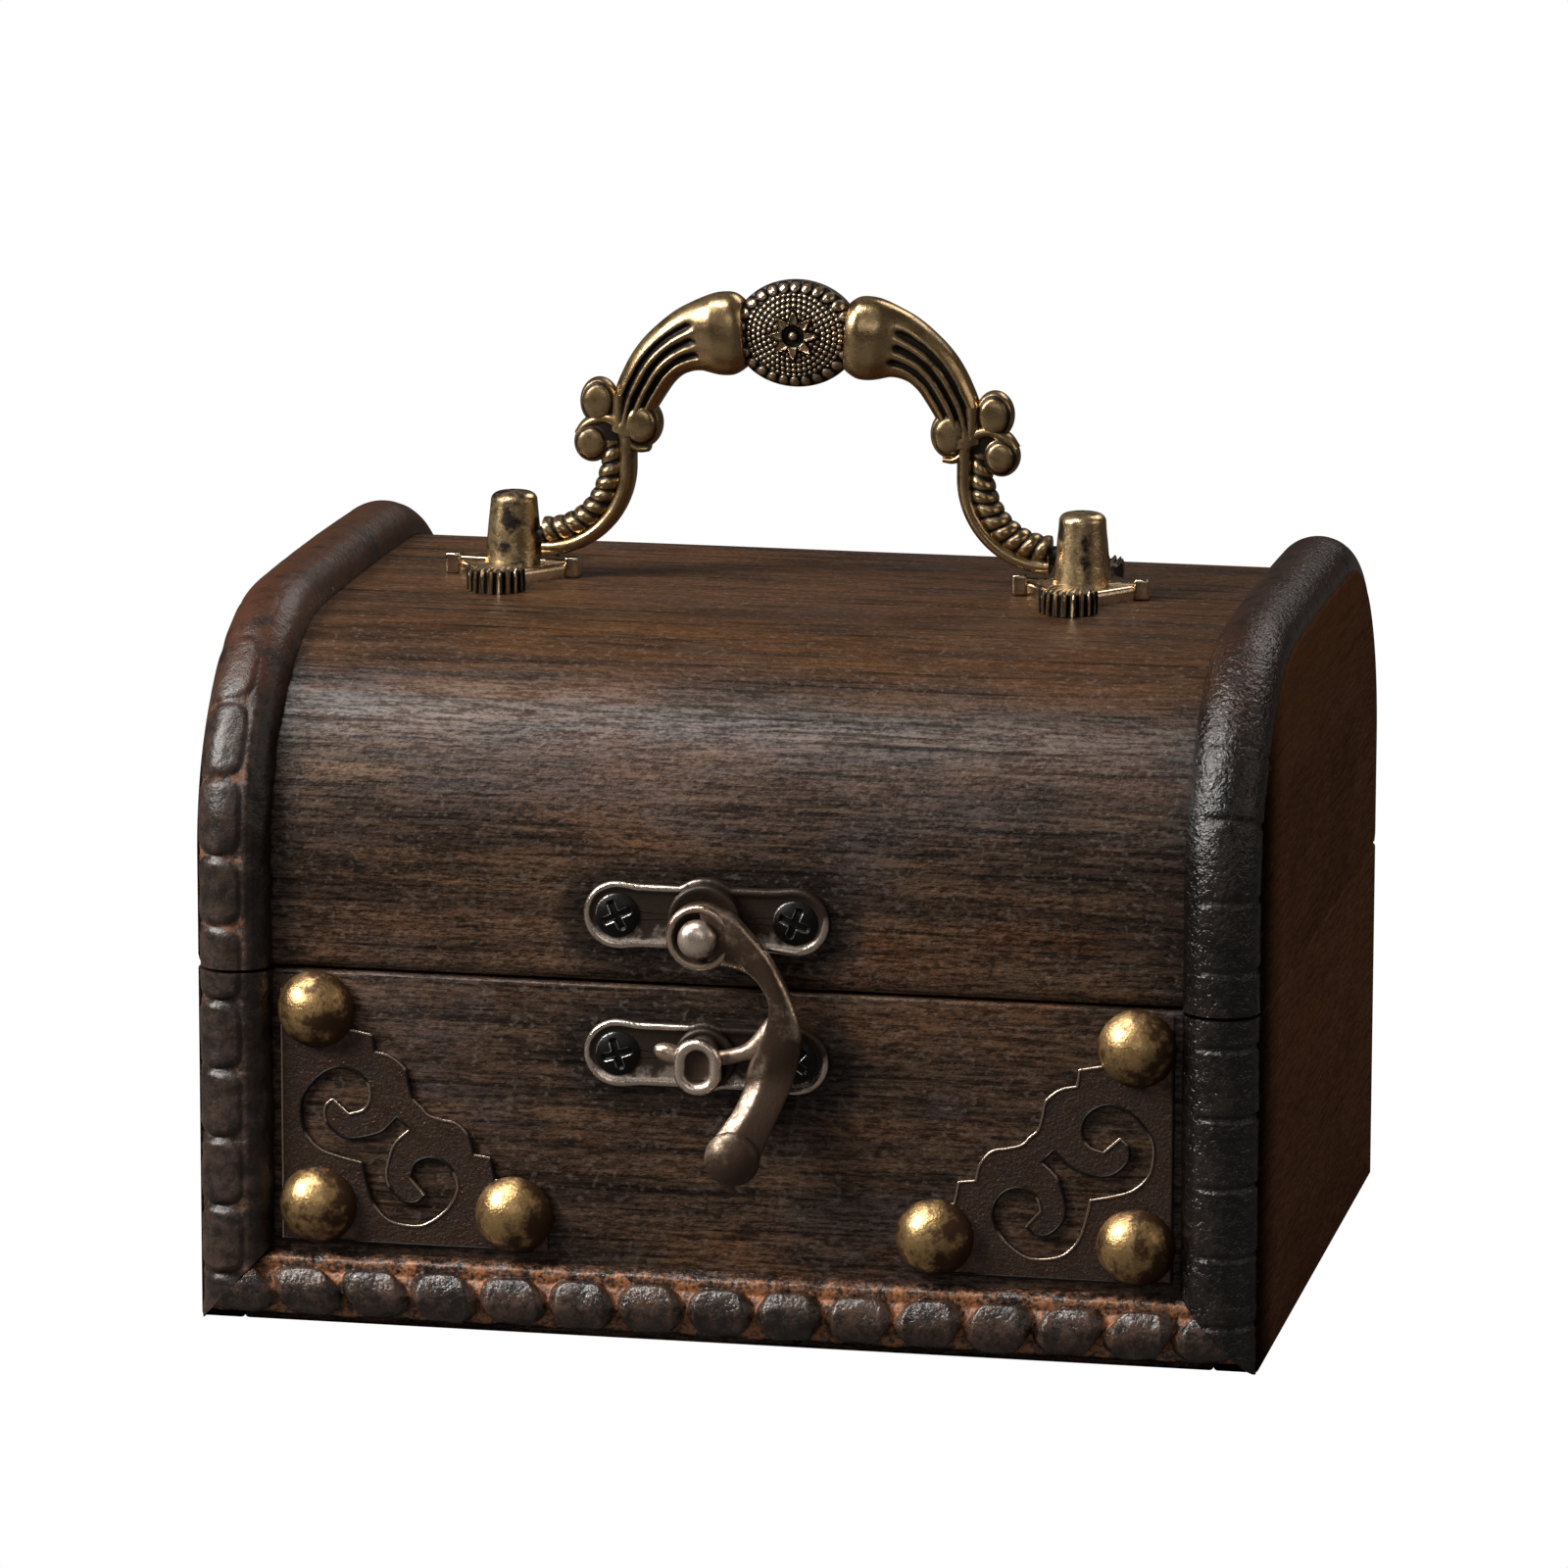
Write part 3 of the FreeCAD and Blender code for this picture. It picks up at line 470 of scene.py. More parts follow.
# %% Mesh helpers
def patch(grid, relief=1.0, folded=False):
    """Quads over rows of rings of points, with both end rings filled.

    A folded ring runs out along one side and back along the other, so a strip between them fills it."""
    rows, columns = grid.shape[:2]
    index = np.arange(rows * columns).reshape(rows, columns)
    after = np.roll(index, -1, axis=1)
    quads = np.stack([index[:-1], after[:-1], after[1:], index[1:]], axis=-1).reshape(-1, 4)
    heights = np.broadcast_to(relief, (rows, columns))
    if folded:
        ends, half = index[[0, -1]], columns // 2
        out, back = ends[:, :half], ends[:, ::-1][:, :half]
        strips = np.stack([out[:, :-1], out[:, 1:], back[:, 1:], back[:, :-1]], axis=-1).reshape(-1, 4)
        return grid.reshape(-1, 3), np.vstack([quads, strips]), np.zeros((0, 3), int), heights.ravel()
    hubs = rows * columns + np.arange(2)
    fans = [np.stack([after[end], index[end], np.full(columns, hub)], axis=-1)
            for end, hub in zip((0, -1), hubs)]
    points = np.vstack([grid.reshape(-1, 3), grid[0].mean(axis=0), grid[-1].mean(axis=0)])
    return points, quads, np.vstack(fans), np.append(heights.ravel(), heights[[0, -1]].mean(axis=1))


def piece(name, patches, body, finish, nodes, sharp=50.0):
    """One object from several patches. It rides on a body and replaces CAD nodes."""
    starts = np.cumsum([0] + [len(part[0]) for part in patches])
    points = np.vstack([part[0] for part in patches]) / MM
    quads = np.vstack([part[1] + start for part, start in zip(patches, starts)])
    fans = np.vstack([part[2] + start for part, start in zip(patches, starts)])
    mesh = bpy.data.meshes.new(name)
    mesh.from_pydata(points.tolist(), [], quads.tolist() + fans.tolist())
    relief = mesh.attributes.new("relief", "FLOAT", "POINT")
    relief.data.foreach_set("value", np.concatenate([part[3] for part in patches]).astype(np.float32))
    work = bmesh.new()
    work.from_mesh(mesh)
    bmesh.ops.recalc_face_normals(work, faces=work.faces)
    work.to_mesh(mesh)
    work.free()
    mesh.shade_smooth()
    mesh.set_sharp_from_angle(angle=math.radians(sharp))
    mesh.materials.append(finish)
    made = bpy.data.objects.new(name, mesh)
    bpy.context.scene.collection.objects.link(made)
    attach(made, body)
    if nodes:
        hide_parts(*nodes)
    print(name, len(mesh.polygons), "faces on", body)
    return made


print("mesh helpers ready")

# %% [markdown]
# ## Boards
#
# The box is made of five sawn boards with slightly rounded edges. A cube with a Bevel modifier
# would look alike. A rounded rectangle carried along X gives the same shape from one short
# function, which serves the handle's small bars too. At both ends the corner radius grows from
# almost nothing by a quarter circle, which rounds the ends. Each board fills the box of the CAD
# panel that it stands for.

# %% Boards
EDGE_ROUNDING = 0.45
BASE_ROUNDING = 0.2
ROUND_STEPS = 5
FIRST_SWELL = 0.06
BOARD_SHARP = 15.0
BOARDS = (("front_board", "front_panel", walnut, EDGE_ROUNDING),
          ("back_board", "back_panel", walnut, EDGE_ROUNDING),
          ("left_end_board", "left_end_panel", walnut_end, EDGE_ROUNDING),
          ("right_end_board", "right_end_panel", walnut_end, EDGE_ROUNDING),
          ("base_board", "base_panel", walnut_inside, BASE_ROUNDING))


def four_corners(steps):
    """Signs of the four corners of a rectangle, and directions of a quarter circle at each of them."""
    corner = np.arange(4).repeat(steps)
    angle = corner * QUARTER + np.tile(np.linspace(0.0, QUARTER, steps), 4)
    return np.sign(circle((corner + 0.5) * QUARTER)), circle(angle)


def board(low, high, rounding=EDGE_ROUNDING):
    """Rows follow a quarter circle in, the length of the board, and a quarter circle out."""
    low, high = np.array(low), np.array(high)
    signs, outward = four_corners(ROUND_STEPS)
    centres = (low + high)[1:] / 2.0 + signs * ((high - low)[1:] / 2.0 - rounding)
    swell = np.linspace(FIRST_SWELL, QUARTER, ROUND_STEPS)
    depth = rounding * (1.0 - np.cos(swell))
    x = np.concatenate([low[0] + depth, high[0] - depth[::-1]])[:, None]
    radius = rounding * np.concatenate([np.sin(swell), np.sin(swell)[::-1]])
    cross = centres + radius[:, None, None] * outward
    return patch(stack(x, cross[..., 0], cross[..., 1]))


for name, panel, finish, rounding in BOARDS:
    piece(name, [board(*extent(panel), rounding)], "box", finish, [panel], BOARD_SHARP)

# %% [markdown]
# ## The domed lid
#
# The real lid is a thin board bent over two end boards. Seen from the side it is a wall, a round
# shoulder and a nearly flat crown, then the same again. A Bezier curve could be drawn through that
# outline by eye. Two radii give it exactly as the CAD model has it, and the facing angle at each
# step gives the outward direction, which the mouldings need.

# %% The lid's outline
SHOULDER, CROWN = 24.0, 900.0
SHOULDER_Y, CROWN_Z = HALF_Y - SHOULDER, LID_TOP - CROWN
SHOULDER_Z = CROWN_Z + math.sqrt((CROWN - SHOULDER) ** 2 - SHOULDER_Y ** 2)
LEAN = math.atan2(SHOULDER_Z - CROWN_Z, SHOULDER_Y)
HALF_LINE = (SHOULDER_Z - LID_FOOT, SHOULDER * LEAN, CROWN * (QUARTER - LEAN))
KNOTS = np.cumsum((0.0,) + HALF_LINE + HALF_LINE[::-1])
FACING = (0.0, 0.0, LEAN, QUARTER, np.pi - LEAN, np.pi, np.pi)
LINE_END = KNOTS[-1]


def lid_line(distance, offset=0.0):
    """Y, Z and facing angle at a distance along the outline from the front foot."""
    angle = np.interp(distance, KNOTS, FACING)
    on_wall = (distance < KNOTS[1]) | (distance > KNOTS[5])
    on_crown = (distance > KNOTS[2]) & (distance < KNOTS[4])
    side = np.where(distance < KNOTS[3], -1.0, 1.0)
    radius = np.where(on_crown, CROWN, SHOULDER) + offset
    y = np.where(on_crown, 0.0, side * SHOULDER_Y) - radius * np.cos(angle)
    z = np.where(on_crown, CROWN_Z, SHOULDER_Z) + radius * np.sin(angle)
    climb = np.minimum(distance, LINE_END - distance)
    return y, np.where(on_wall, LID_FOOT + climb, z), angle


print("lid outline", round(LINE_END, 1), "mm long")

# %% [markdown]
# The shell of the lid follows that outline on its outside and comes back along its inside. A
# Solidify modifier could give a single sheet its thickness, but the rounded foot would then need a
# step of its own. The two end boards are solid slices of the same outline, with rounded edges like
# the other boards.

# %% Lid boards
SKIN, FOOT_ROUNDING = 3.5, 0.6
SHELL_SINK = 0.06
SHELL_WAVE = 0.05
WAVES_PER_MM = 0.06
SHELL_SHARP = 40.0


def lid_ring(x, inset, skin, steps=170):
    """Closed outlines of the lid at each X: over the outside, then back along the inside."""
    distance = np.linspace(0.0, LINE_END, steps)
    foot = np.minimum(distance, LINE_END - distance)
    rounding = FOOT_ROUNDING * np.sqrt(np.clip(1.0 - foot / FOOT_ROUNDING, 0.0, 1.0))
    lines = [lid_line(distance, -inset[:, None] - rounding)]
    if skin:
        lines.append(lid_line(distance[::-1], np.full((len(x), 1), -skin)))
    y, z = (np.concatenate([line[axis] for line in lines], axis=1) for axis in (0, 1))
    return stack(x[:, None], y, z)


x = np.linspace(-INNER_X, INNER_X, 60)
shell = lid_ring(x, SHELL_SINK + SHELL_WAVE * rough_field(3, x * WAVES_PER_MM), SKIN)
piece("lid_shell", [patch(shell, folded=True)], "lid", walnut, ["lid_skin"], SHELL_SHARP)
turn = np.linspace(0.0, QUARTER, ROUND_STEPS)
depth = EDGE_ROUNDING * (1.0 - np.cos(turn))
inset = EDGE_ROUNDING * np.concatenate([1.0 - np.sin(turn), 1.0 - np.sin(turn)[::-1]])
for sign, name in SIDES:
    x = sign * np.concatenate([INNER_X + depth, HALF_X - depth[::-1]])
    piece(name + "_lid_board", [patch(lid_ring(x, inset, 0.0))], "lid", walnut_end,
          [name + "_lid_end"], BOARD_SHARP)

# %% [markdown]
# ## Beaded mouldings
#
# The strips are half-round wood with a row of carved, pillow-shaped beads on one side and a plain
# flank on the other. One bead could be modelled and repeated with an Array modifier, but then all
# beads would be alike. A height formula lets each differ a little. One angle runs round the section
# and one distance runs along the strip. Inside every bead's cell, the pillow falls with the sixth
# powers of both distances from the cell's middle. A lane says where the row lies, as shares of the
# half turn.

# %% Moulding relief
PITCH = 7.85
SUNK = 0.22
LUMPS = 0.17
THETA = np.linspace(0.0, np.pi, 84)
FOOT_LANE = {"middle": 0.47, "wide": 0.335, "narrowing": 0.36, "slope": 0.3, "gloom": 0.0}
SIDE_LANE = {"middle": 0.33, "wide": 0.3, "narrowing": 0.2, "slope": 0.2, "gloom": 0.75}


def carved(along, theta, depth, seed, beads, middle, wide, narrowing, slope, gloom):
    """Scale of the half-round and relief. Beads near 1 are pillows, near 0 only shallow cross cuts.

    Middle and wide place the row of beads. A bead narrows towards the lane's edges, its slopes
    take up a share of it, and gloom marks how much blacker the flank is."""
    place = theta / np.pi
    side = np.abs(place - middle) / wide
    cell = along / PITCH
    number = np.floor(cell)
    across = np.abs(2.0 * (cell - number) - 1.0)
    inside = np.clip(side, 0.0, 1.0)
    far = ((across / (1.0 - narrowing * inside ** 1.5)) ** 6 + side ** 6) ** (1.0 / 6.0)
    pillow = np.clip((1.0 - far) / slope, 0.0, 1.0) ** 0.6
    facet = 1.0 - 0.24 * inside + 0.08 * np.sin(2.4 * number + seed)
    upper, lower = middle + wide, middle - wide
    cut = 1.0 - smooth(0.86, 0.97, across) * (1.0 - smooth(upper - 0.02, upper + 0.08, place))
    fillet = np.maximum(0.75 * smooth(upper - 0.07, upper + 0.03, place),
                        0.6 * (1.0 - smooth(lower, lower + 0.08, place)))
    raised = beads * np.maximum(pillow * facet, fillet) + (1.0 - beads) * cut
    corner = 0.15 * across ** 2 - 0.13
    above = (0.34 * smooth(upper + corner, upper + corner + 0.1, place)
             + 0.22 * smooth(upper - 0.02, upper + 0.12, place))
    below = 0.58 * (1.0 - smooth(lower - corner - 0.08, lower - corner, place))
    stained = np.maximum(smooth(0.05, 0.6, pillow), np.maximum(above, below))
    shade = beads * stained + (1.0 - beads) * cut
    lumps = (rough_field(seed, along * 2.2, theta * 5.0) * 0.6
             + rough_field(seed + 1, along * 0.6, theta * 2.0) * 0.4)
    drop = depth * (1.0 - raised) + SUNK + np.minimum(LUMPS, 0.3 * depth) * lumps
    flank = gloom * smooth(upper + 0.02, upper + 0.1, place)
    return 1.0 - drop / PROUD, np.clip(shade, 0.0, 1.0) + flank


def half_round(scale, theta):
    """Across and outward distances of the half-round."""
    return -HALF_WIDTH * np.cos(theta) * scale, PROUD * np.sin(theta) * scale


print("bead pitch", PITCH, "mm")

# %% [markdown]
# The foot strip and the two corner strips are cut at 45 degrees where they meet. A Boolean modifier
# could cut them. It is cleaner to let each row of points stop at a height or a length that depends
# on how far out it lies, because the grid then stays a grid.

# %% Straight strips
FOOT_DEPTH = 1.6
FOOT_SEED = 5
RISE_START = 2.0
ARCH_START = 3.0
ARCH_SEED = 12
STRIPS = ((-1.0, "left", 0.6, dusky, 0.85, 11), (1.0, "right", 0.22, black, 0.05, 17))

run = np.linspace(-1.0, 1.0, 640)[:, None]
x = run * (HALF_X - HALF_WIDTH + HALF_WIDTH * np.cos(THETA))
scale, relief = carved(x + 0.5 * PITCH, THETA, FOOT_DEPTH, FOOT_SEED, 1.0, **FOOT_LANE)
across, out = half_round(scale, THETA)
z = HALF_WIDTH + across
foot = stack(run * (HALF_X - z), -HALF_Y - out, z)
piece("foot_strip", [patch(foot, relief)], "box", beaded, ["foot_moulding"])

rise = np.linspace(0.0, 1.0, 260)[:, None]
for sign, name, depth, finish, beads, seed in STRIPS:
    turn = THETA if sign < 0.0 else THETA[::-1]
    middle = sign * (HALF_X - HALF_WIDTH)
    mitre = np.clip(HALF_X - np.abs(middle - HALF_WIDTH * np.cos(THETA)), 0.0, STRIP_WIDTH)
    z = mitre + rise * (BODY_TOP - mitre)
    scale, relief = carved(z + RISE_START, turn, depth, seed, beads, **SIDE_LANE)
    across, out = half_round(scale, THETA)
    strip = stack(middle + across, -HALF_Y - out, z)
    piece(name + "_corner_strip", [patch(strip, 0.45 + 0.55 * relief)], "box", finish,
          [name + "_corner_moulding"])

# %% [markdown]
# Over the lid the same section follows the outline. A curve object could carry a section that stays
# the same, but here it changes: the beads are worn away on top, where hands rub. So their depth
# fades as the strip turns over the shoulder.

# %% Arched strips
distance = np.linspace(0.0, LINE_END, 480)[:, None]
y, z, angle = lid_line(distance)
wear_and_painted_light = 1.0 - 0.85 * smooth(0.75, 1.3, np.sin(angle) * QUARTER)
for sign, name, depth, finish, beads, seed in STRIPS:
    turn = THETA if sign < 0.0 else THETA[::-1]
    scale, relief = carved(distance + ARCH_START, turn, depth * wear_and_painted_light, seed + ARCH_SEED, beads, **SIDE_LANE)
    across, out = half_round(scale, THETA)
    x = sign * (HALF_X - HALF_WIDTH) + across
    strip = patch(stack(x, y - out * np.cos(angle), z + out * np.sin(angle)),
                  1.0 - 0.75 * (1.0 - relief) * wear_and_painted_light)
    piece(name + "_arched_strip", [strip], "lid", finish, [name + "_lid_moulding"])

# %% [markdown]
# ## Turned shapes
#
# Nails, rivets, posts and bosses are round about an axis. The Screw modifier would turn a drawn
# profile. A grid does the same with a sine and a cosine, and it can also be dented a little. The
# profile lists a radius and a height for each row, and the axis comes with two directions across
# it.

# %% Turning helper
AXIS_X, AXIS_Y, AXIS_Z = np.eye(3)
FRONT, TOP = (AXIS_X, AXIS_Z, -AXIS_Y), (AXIS_X, AXIS_Y, AXIS_Z)
FACETS, LIT_FROM = 72, 0.75 * np.pi


def turned(radius, height, centre, basis, relief=1.0, facets=FACETS, uneven=0.0, seed=1):
    """Rings of a profile about an axis: centre + radius (cos, sin) + height."""
    angle = around(facets)
    radius, height = np.asarray(radius)[:, None], np.asarray(height)[:, None]
    wobble = 1.0 + uneven * rough_field(seed, np.cos(angle) * 2.0, np.sin(angle) * 2.0, height)
    right, up, forward = basis
    grid = (np.array(centre) + (radius * wobble * np.cos(angle))[..., None] * right
            + (radius * wobble * np.sin(angle))[..., None] * up
            + (height + 0.0 * angle)[..., None] * forward)
    return patch(grid, np.asarray(relief)[:, None] if np.ndim(relief) == 1 else relief)


print("turning helper ready")

# %% [markdown]
# Three dome nails hold each corner plate. They are pressed from thin brass: a cap of a ball with a
# narrow turned-down edge. Part of a ball alone would be near, but without the edge and the dents
# that tell the nails apart. Patina stays on their rims. Each cap is also painted brighter towards the
# upper left and darker on the lower right: a painted highlight and painted shade. Each set fills
# three corners of its CAD node's box.

# %% Dome nails
NAIL_RADIUS = 4.4
NAIL_EDGE = 0.2
NAIL_LIFT = 0.1
NAIL_ROWS = 22
NAIL_SEED = 40
DENTS = 0.012
PLATE_SKIN = -extent("left_corner_plate")[0][1] - HALF_Y
NAIL_HEIGHT = -extent("left_dome_nails")[0][1] - HALF_Y - PLATE_SKIN
NEAR = extent("left_dome_nails")[0][2] + NAIL_RADIUS
FAR = extent("left_dome_nails")[1][2] - NAIL_RADIUS

ball = (NAIL_RADIUS ** 2 + NAIL_HEIGHT ** 2) / (2.0 * NAIL_HEIGHT)
lean = np.linspace(math.asin(NAIL_RADIUS / ball), 0.06, NAIL_ROWS)
nail_r = np.concatenate([(NAIL_RADIUS - NAIL_EDGE, NAIL_RADIUS), ball * np.sin(lean)])
nail_h = np.concatenate([(0.0, 0.0), NAIL_LIFT + ball * np.cos(lean) - (ball - NAIL_HEIGHT)])
wear_and_painted_light = np.concatenate([(0.0, 0.25), np.clip(np.linspace(0.3, 1.5, NAIL_ROWS), 0.0, 0.62)])
# Painted highlight and shade: brighter towards the upper left, darker on the lower right.
rub_and_painted_light = np.cos(around(FACETS) - 0.8 * np.pi) * (nail_r / NAIL_RADIUS)[:, None]
wear_and_painted_light = np.clip(wear_and_painted_light[:, None] + 0.27 * rub_and_painted_light - 0.03, 0.0, 1.0)
for sign, name in SIDES:
    places = [(sign * (HALF_X - along), -HALF_Y - PLATE_SKIN, above)
              for along, above in ((NEAR, NEAR), (NEAR, FAR), (FAR, NEAR))]
    caps = [turned(nail_r, nail_h, place, FRONT, wear_and_painted_light, uneven=DENTS, seed=number + int(5 * sign) + NAIL_SEED)
            for number, place in enumerate(places)]
    piece(name + "_nail_caps", caps, "box", nail_brass, [name + "_dome_nails"])

# %% [markdown]
# Scrolls, the hook's edges and the handle's arches are free curves. Blender's own curve objects
# could hold them, but their points would have to be read back. This short spline goes through a few
# listed points, and a second helper gives the direction across a path.

# %% Curves through points
def spline(points, count):
    """A smooth curve through points: each span is a cubic whose slopes come from the neighbours."""
    points = np.asarray(points, float)
    padded = np.vstack([2.0 * points[0] - points[1], points, 2.0 * points[-1] - points[-2]])
    place = np.linspace(0.0, len(points) - 1.0, count)
    span = np.minimum(place.astype(int), len(points) - 2)
    t = (place - span)[:, None]
    a, b, c, d = (padded[span + step] for step in range(4))
    return 0.5 * (2.0 * b + (c - a) * t + (2.0 * a - 5.0 * b + 4.0 * c - d) * t ** 2
                  + (3.0 * b - a - 3.0 * c + d) * t ** 3)


def across_path(path):
    """Unit directions across a path: the path's own direction turned by a right angle."""
    step = np.gradient(path, axis=0)
    step = step / np.linalg.norm(step, axis=1, keepdims=True)
    return np.stack([-step[:, 1], step[:, 0]], axis=-1)


print("curve helpers ready")

# %% [markdown]
# The stamped corner plates keep their CAD shape. Their edges are rolled, and that thin bright line
# is what shows most from the front. A Bevel modifier would make it equally bright all round. So a
# fine wire follows the outline and the scroll opening, painted bright where it faces up and to the
# left and dark where it faces away: a painted highlight and painted shade. Both halves of a plate
# mirror each other in its diagonal, so each list of shares is used twice.

# %% Corner plate rims
LEG = extent("left_corner_plate")[1][2] - STRIP_WIDTH
WIRE = 0.17
WIRE_SHARP = 80.0
EDGE_SHARE = 0.023
EDGE_END_SHARE = 0.95
WAVE_END_SHARE = 0.535
SCROLL_END_SHARE = 0.471
STEP_SHARES = ((0.152, 1.0), (0.271, 0.887), (0.277, 0.806), (0.358, 0.79), (0.366, 0.729))
WAVE_SHARES = ((0.366, 0.729), (0.426, 0.714), (0.477, 0.671), (0.49, 0.615), (0.506, 0.563))
OUTER_SCROLL_SHARES = ((0.316, 0.316), (0.232, 0.335), (0.161, 0.361), (0.106, 0.419), (0.09, 0.506),
                       (0.108, 0.568), (0.165, 0.635), (0.235, 0.668), (0.298, 0.655), (0.339, 0.613),
                       (0.348, 0.561), (0.324, 0.513), (0.268, 0.494))
INNER_SCROLL_SHARES = ((0.21, 0.548), (0.181, 0.516), (0.184, 0.465), (0.226, 0.421), (0.274, 0.406),
                       (0.335, 0.416), (0.394, 0.439), (0.448, 0.494))
UP_AND_LEFT = np.array((-0.5, 0.87))


def corner_wire(side, shares, opening):
    """A round wire on a corner plate with a painted highlight where its edge faces up and to the left."""
    corner = np.array((side * (HALF_X - STRIP_WIDTH), STRIP_WIDTH))
    path = corner + LEG * shares * np.array((-side, 1.0))
    angle = around(8)
    across = across_path(path)
    flat = path[:, None] + across[:, None] * (WIRE * np.cos(angle))[:, None]
    # Painted highlight and shade: bright where the edge faces up and to the left, dark where it faces away.
    wear_and_painted_light = smooth(-0.5, 0.55, opening * across @ UP_AND_LEFT)[:, None]
    return patch(stack(flat[..., 0], -HALF_Y - PLATE_SKIN - WIRE * np.sin(angle), flat[..., 1]), wear_and_painted_light)


scroll = np.vstack([spline(OUTER_SCROLL_SHARES, 90), spline(INNER_SCROLL_SHARES, 60),
                    ((SCROLL_END_SHARE, SCROLL_END_SHARE),)])
wave = spline(WAVE_SHARES + ((WAVE_END_SHARE, WAVE_END_SHARE),), 60)
edge = np.linspace((EDGE_SHARE, EDGE_SHARE), (EDGE_SHARE, EDGE_END_SHARE), 40)
steps = np.vstack([np.linspace(start, end, 12) for start, end in zip(STEP_SHARES, STEP_SHARES[1:])])
halves = ((scroll, -1.0), (wave, 1.0), (edge, 1.0), (steps, 1.0))
for side, name in SIDES:
    wires = [corner_wire(side, half[:, order], -side * opening * turn)
             for half, opening in halves for order, turn in (((0, 1), 1.0), ((1, 0), -1.0))]
    piece(name + "_plate_rim", wires, "box", corner_edge, [], WIRE_SHARP)

# %% [markdown]
# ## The latch
#
# The latch sits on two stamped plates with rounded ends, a wider middle and a raised rim that
# catches the light. The rim could be made by insetting and raising a flat face. Rings that are
# drawn in towards the plate's middle line do the same and keep the rim's section even all round:
# the height goes up over the rim and down to the flat face.

# %% Latch plates
SCREW_REACH = 10.0
PLATE_END = 3.85
PLATE_WAIST = 3.6
RIM_INSET = np.array((0.0, 0.0, 0.1, 0.3, 0.55, 0.8, 1.0, 1.25, 2.2, 3.2))
RIM_HEIGHT = np.array((0.0, 0.5, 0.78, 0.92, 0.94, 0.84, 0.72, 0.66, 0.64, 0.64))
RIM_WORN = np.array((0.2, 0.5, 0.95, 1.0, 0.95, 0.5, 0.2, 0.2, 0.34, 0.4))
FACE_FROM = 0.7


def plate_outline(bulge):
    """A ring over the top edge, round the left end, back under and round the right end."""
    top = np.linspace(SCREW_REACH, -SCREW_REACH, 61)
    swell = np.sqrt(np.clip(bulge ** 2 - top ** 2, 0.0, None))
    half = np.maximum(PLATE_WAIST + (PLATE_END - PLATE_WAIST) * smooth(7.0, SCREW_REACH, np.abs(top)), swell)
    left = (-SCREW_REACH, 0.0) + PLATE_END * circle(np.linspace(QUARTER, 3.0 * QUARTER, 33)[1:-1])
    return np.concatenate([np.stack([top, half], axis=-1), left, np.stack([-top, -half], axis=-1), -left])


def latch_plate(height, bulge):
    """Rings around a straight middle line: drawn in by each row's inset, at each row's height."""
    ring = plate_outline(bulge)
    foot = np.stack([np.clip(ring[:, 0], -SCREW_REACH, SCREW_REACH), 0.0 * ring[:, 1]], axis=-1)
    reach = np.linalg.norm(ring - foot, axis=-1)
    share = 1.0 - RIM_INSET[:, None] / reach
    flat = foot + (ring - foot) * share[..., None]
    grid = stack(LATCH_X + flat[..., 0], -HALF_Y - RIM_HEIGHT[:, None], height + flat[..., 1])
    on_face = np.where(RIM_INSET > FACE_FROM, (RIM_INSET[-1] - RIM_INSET) / PLATE_WAIST, 0.0)[:, None]
    lower = on_face * np.clip(-ring[:, 1] / PLATE_WAIST, -0.5, 1.0)
    # Painted shade: the rim is darker towards the right of its top edge. The flat face is lighter towards its
    # bottom.
    fade = 1.0 - 0.6 * smooth(-5.0, 3.0, ring[:, 0]) * smooth(-1.0, 2.0, ring[:, 1])
    return patch(grid, np.clip(RIM_WORN[:, None] * fade + lower, 0.0, 1.0))


def boss(height, radius, proud):
    """A low turned disc on a plate: up its side, over a rounded rim and down to a flat middle."""
    rim = (radius, radius, radius - 0.1, radius - 0.35, radius - 0.7, radius - 1.0, 0.6)
    rise = (0.3, proud - 0.5, proud - 0.15, proud, proud - 0.05, proud - 0.2, proud - 0.2)
    return turned(rim, rise, (LATCH_X, -HALF_Y, height), FRONT, (0.1, 0.1, 0.25, 0.25, 0.2, 0.1, 0.1))


LATCHES = (("upper", LATCH_Z, 4.6, 4.1, 2.35, "lid", "latch"),
           ("lower", KEEPER_Z, 4.0, 3.5, 1.75, "box", "keeper"))
for name, height, bulge, radius, proud, body, node in LATCHES:
    plate = [latch_plate(height, bulge), boss(height, radius, proud)]
    piece(name + "_latch_plate", plate, body, latch_copper, [node + "_plate"])

# %% [markdown]
# Two screws hold each plate. They have flat domed heads with a cross recess. The lips of the recess
# are bright, partly worn steel and partly painted glints, and the rim has a painted highlight on the
# side towards the light. A Boolean cut would leave hard corners. On a polar grid the recess is as
# deep as the distance from the nearer of two crossing lines says, so its edges come out soft.

# %% Cross-head screws
HEAD_RADIUS = (extent("latch_screws")[1][0] - extent("latch_screws")[0][0]) / 2.0 - SCREW_REACH
HEAD_HEIGHT = 0.8
PLATE_FACE = 0.6
HEAD_ROWS = 48
SCREWS = ((LATCH_Z, "lid", "latch", (0.45, 1.2)), (KEEPER_Z, "box", "keeper", (0.3, 0.9)))


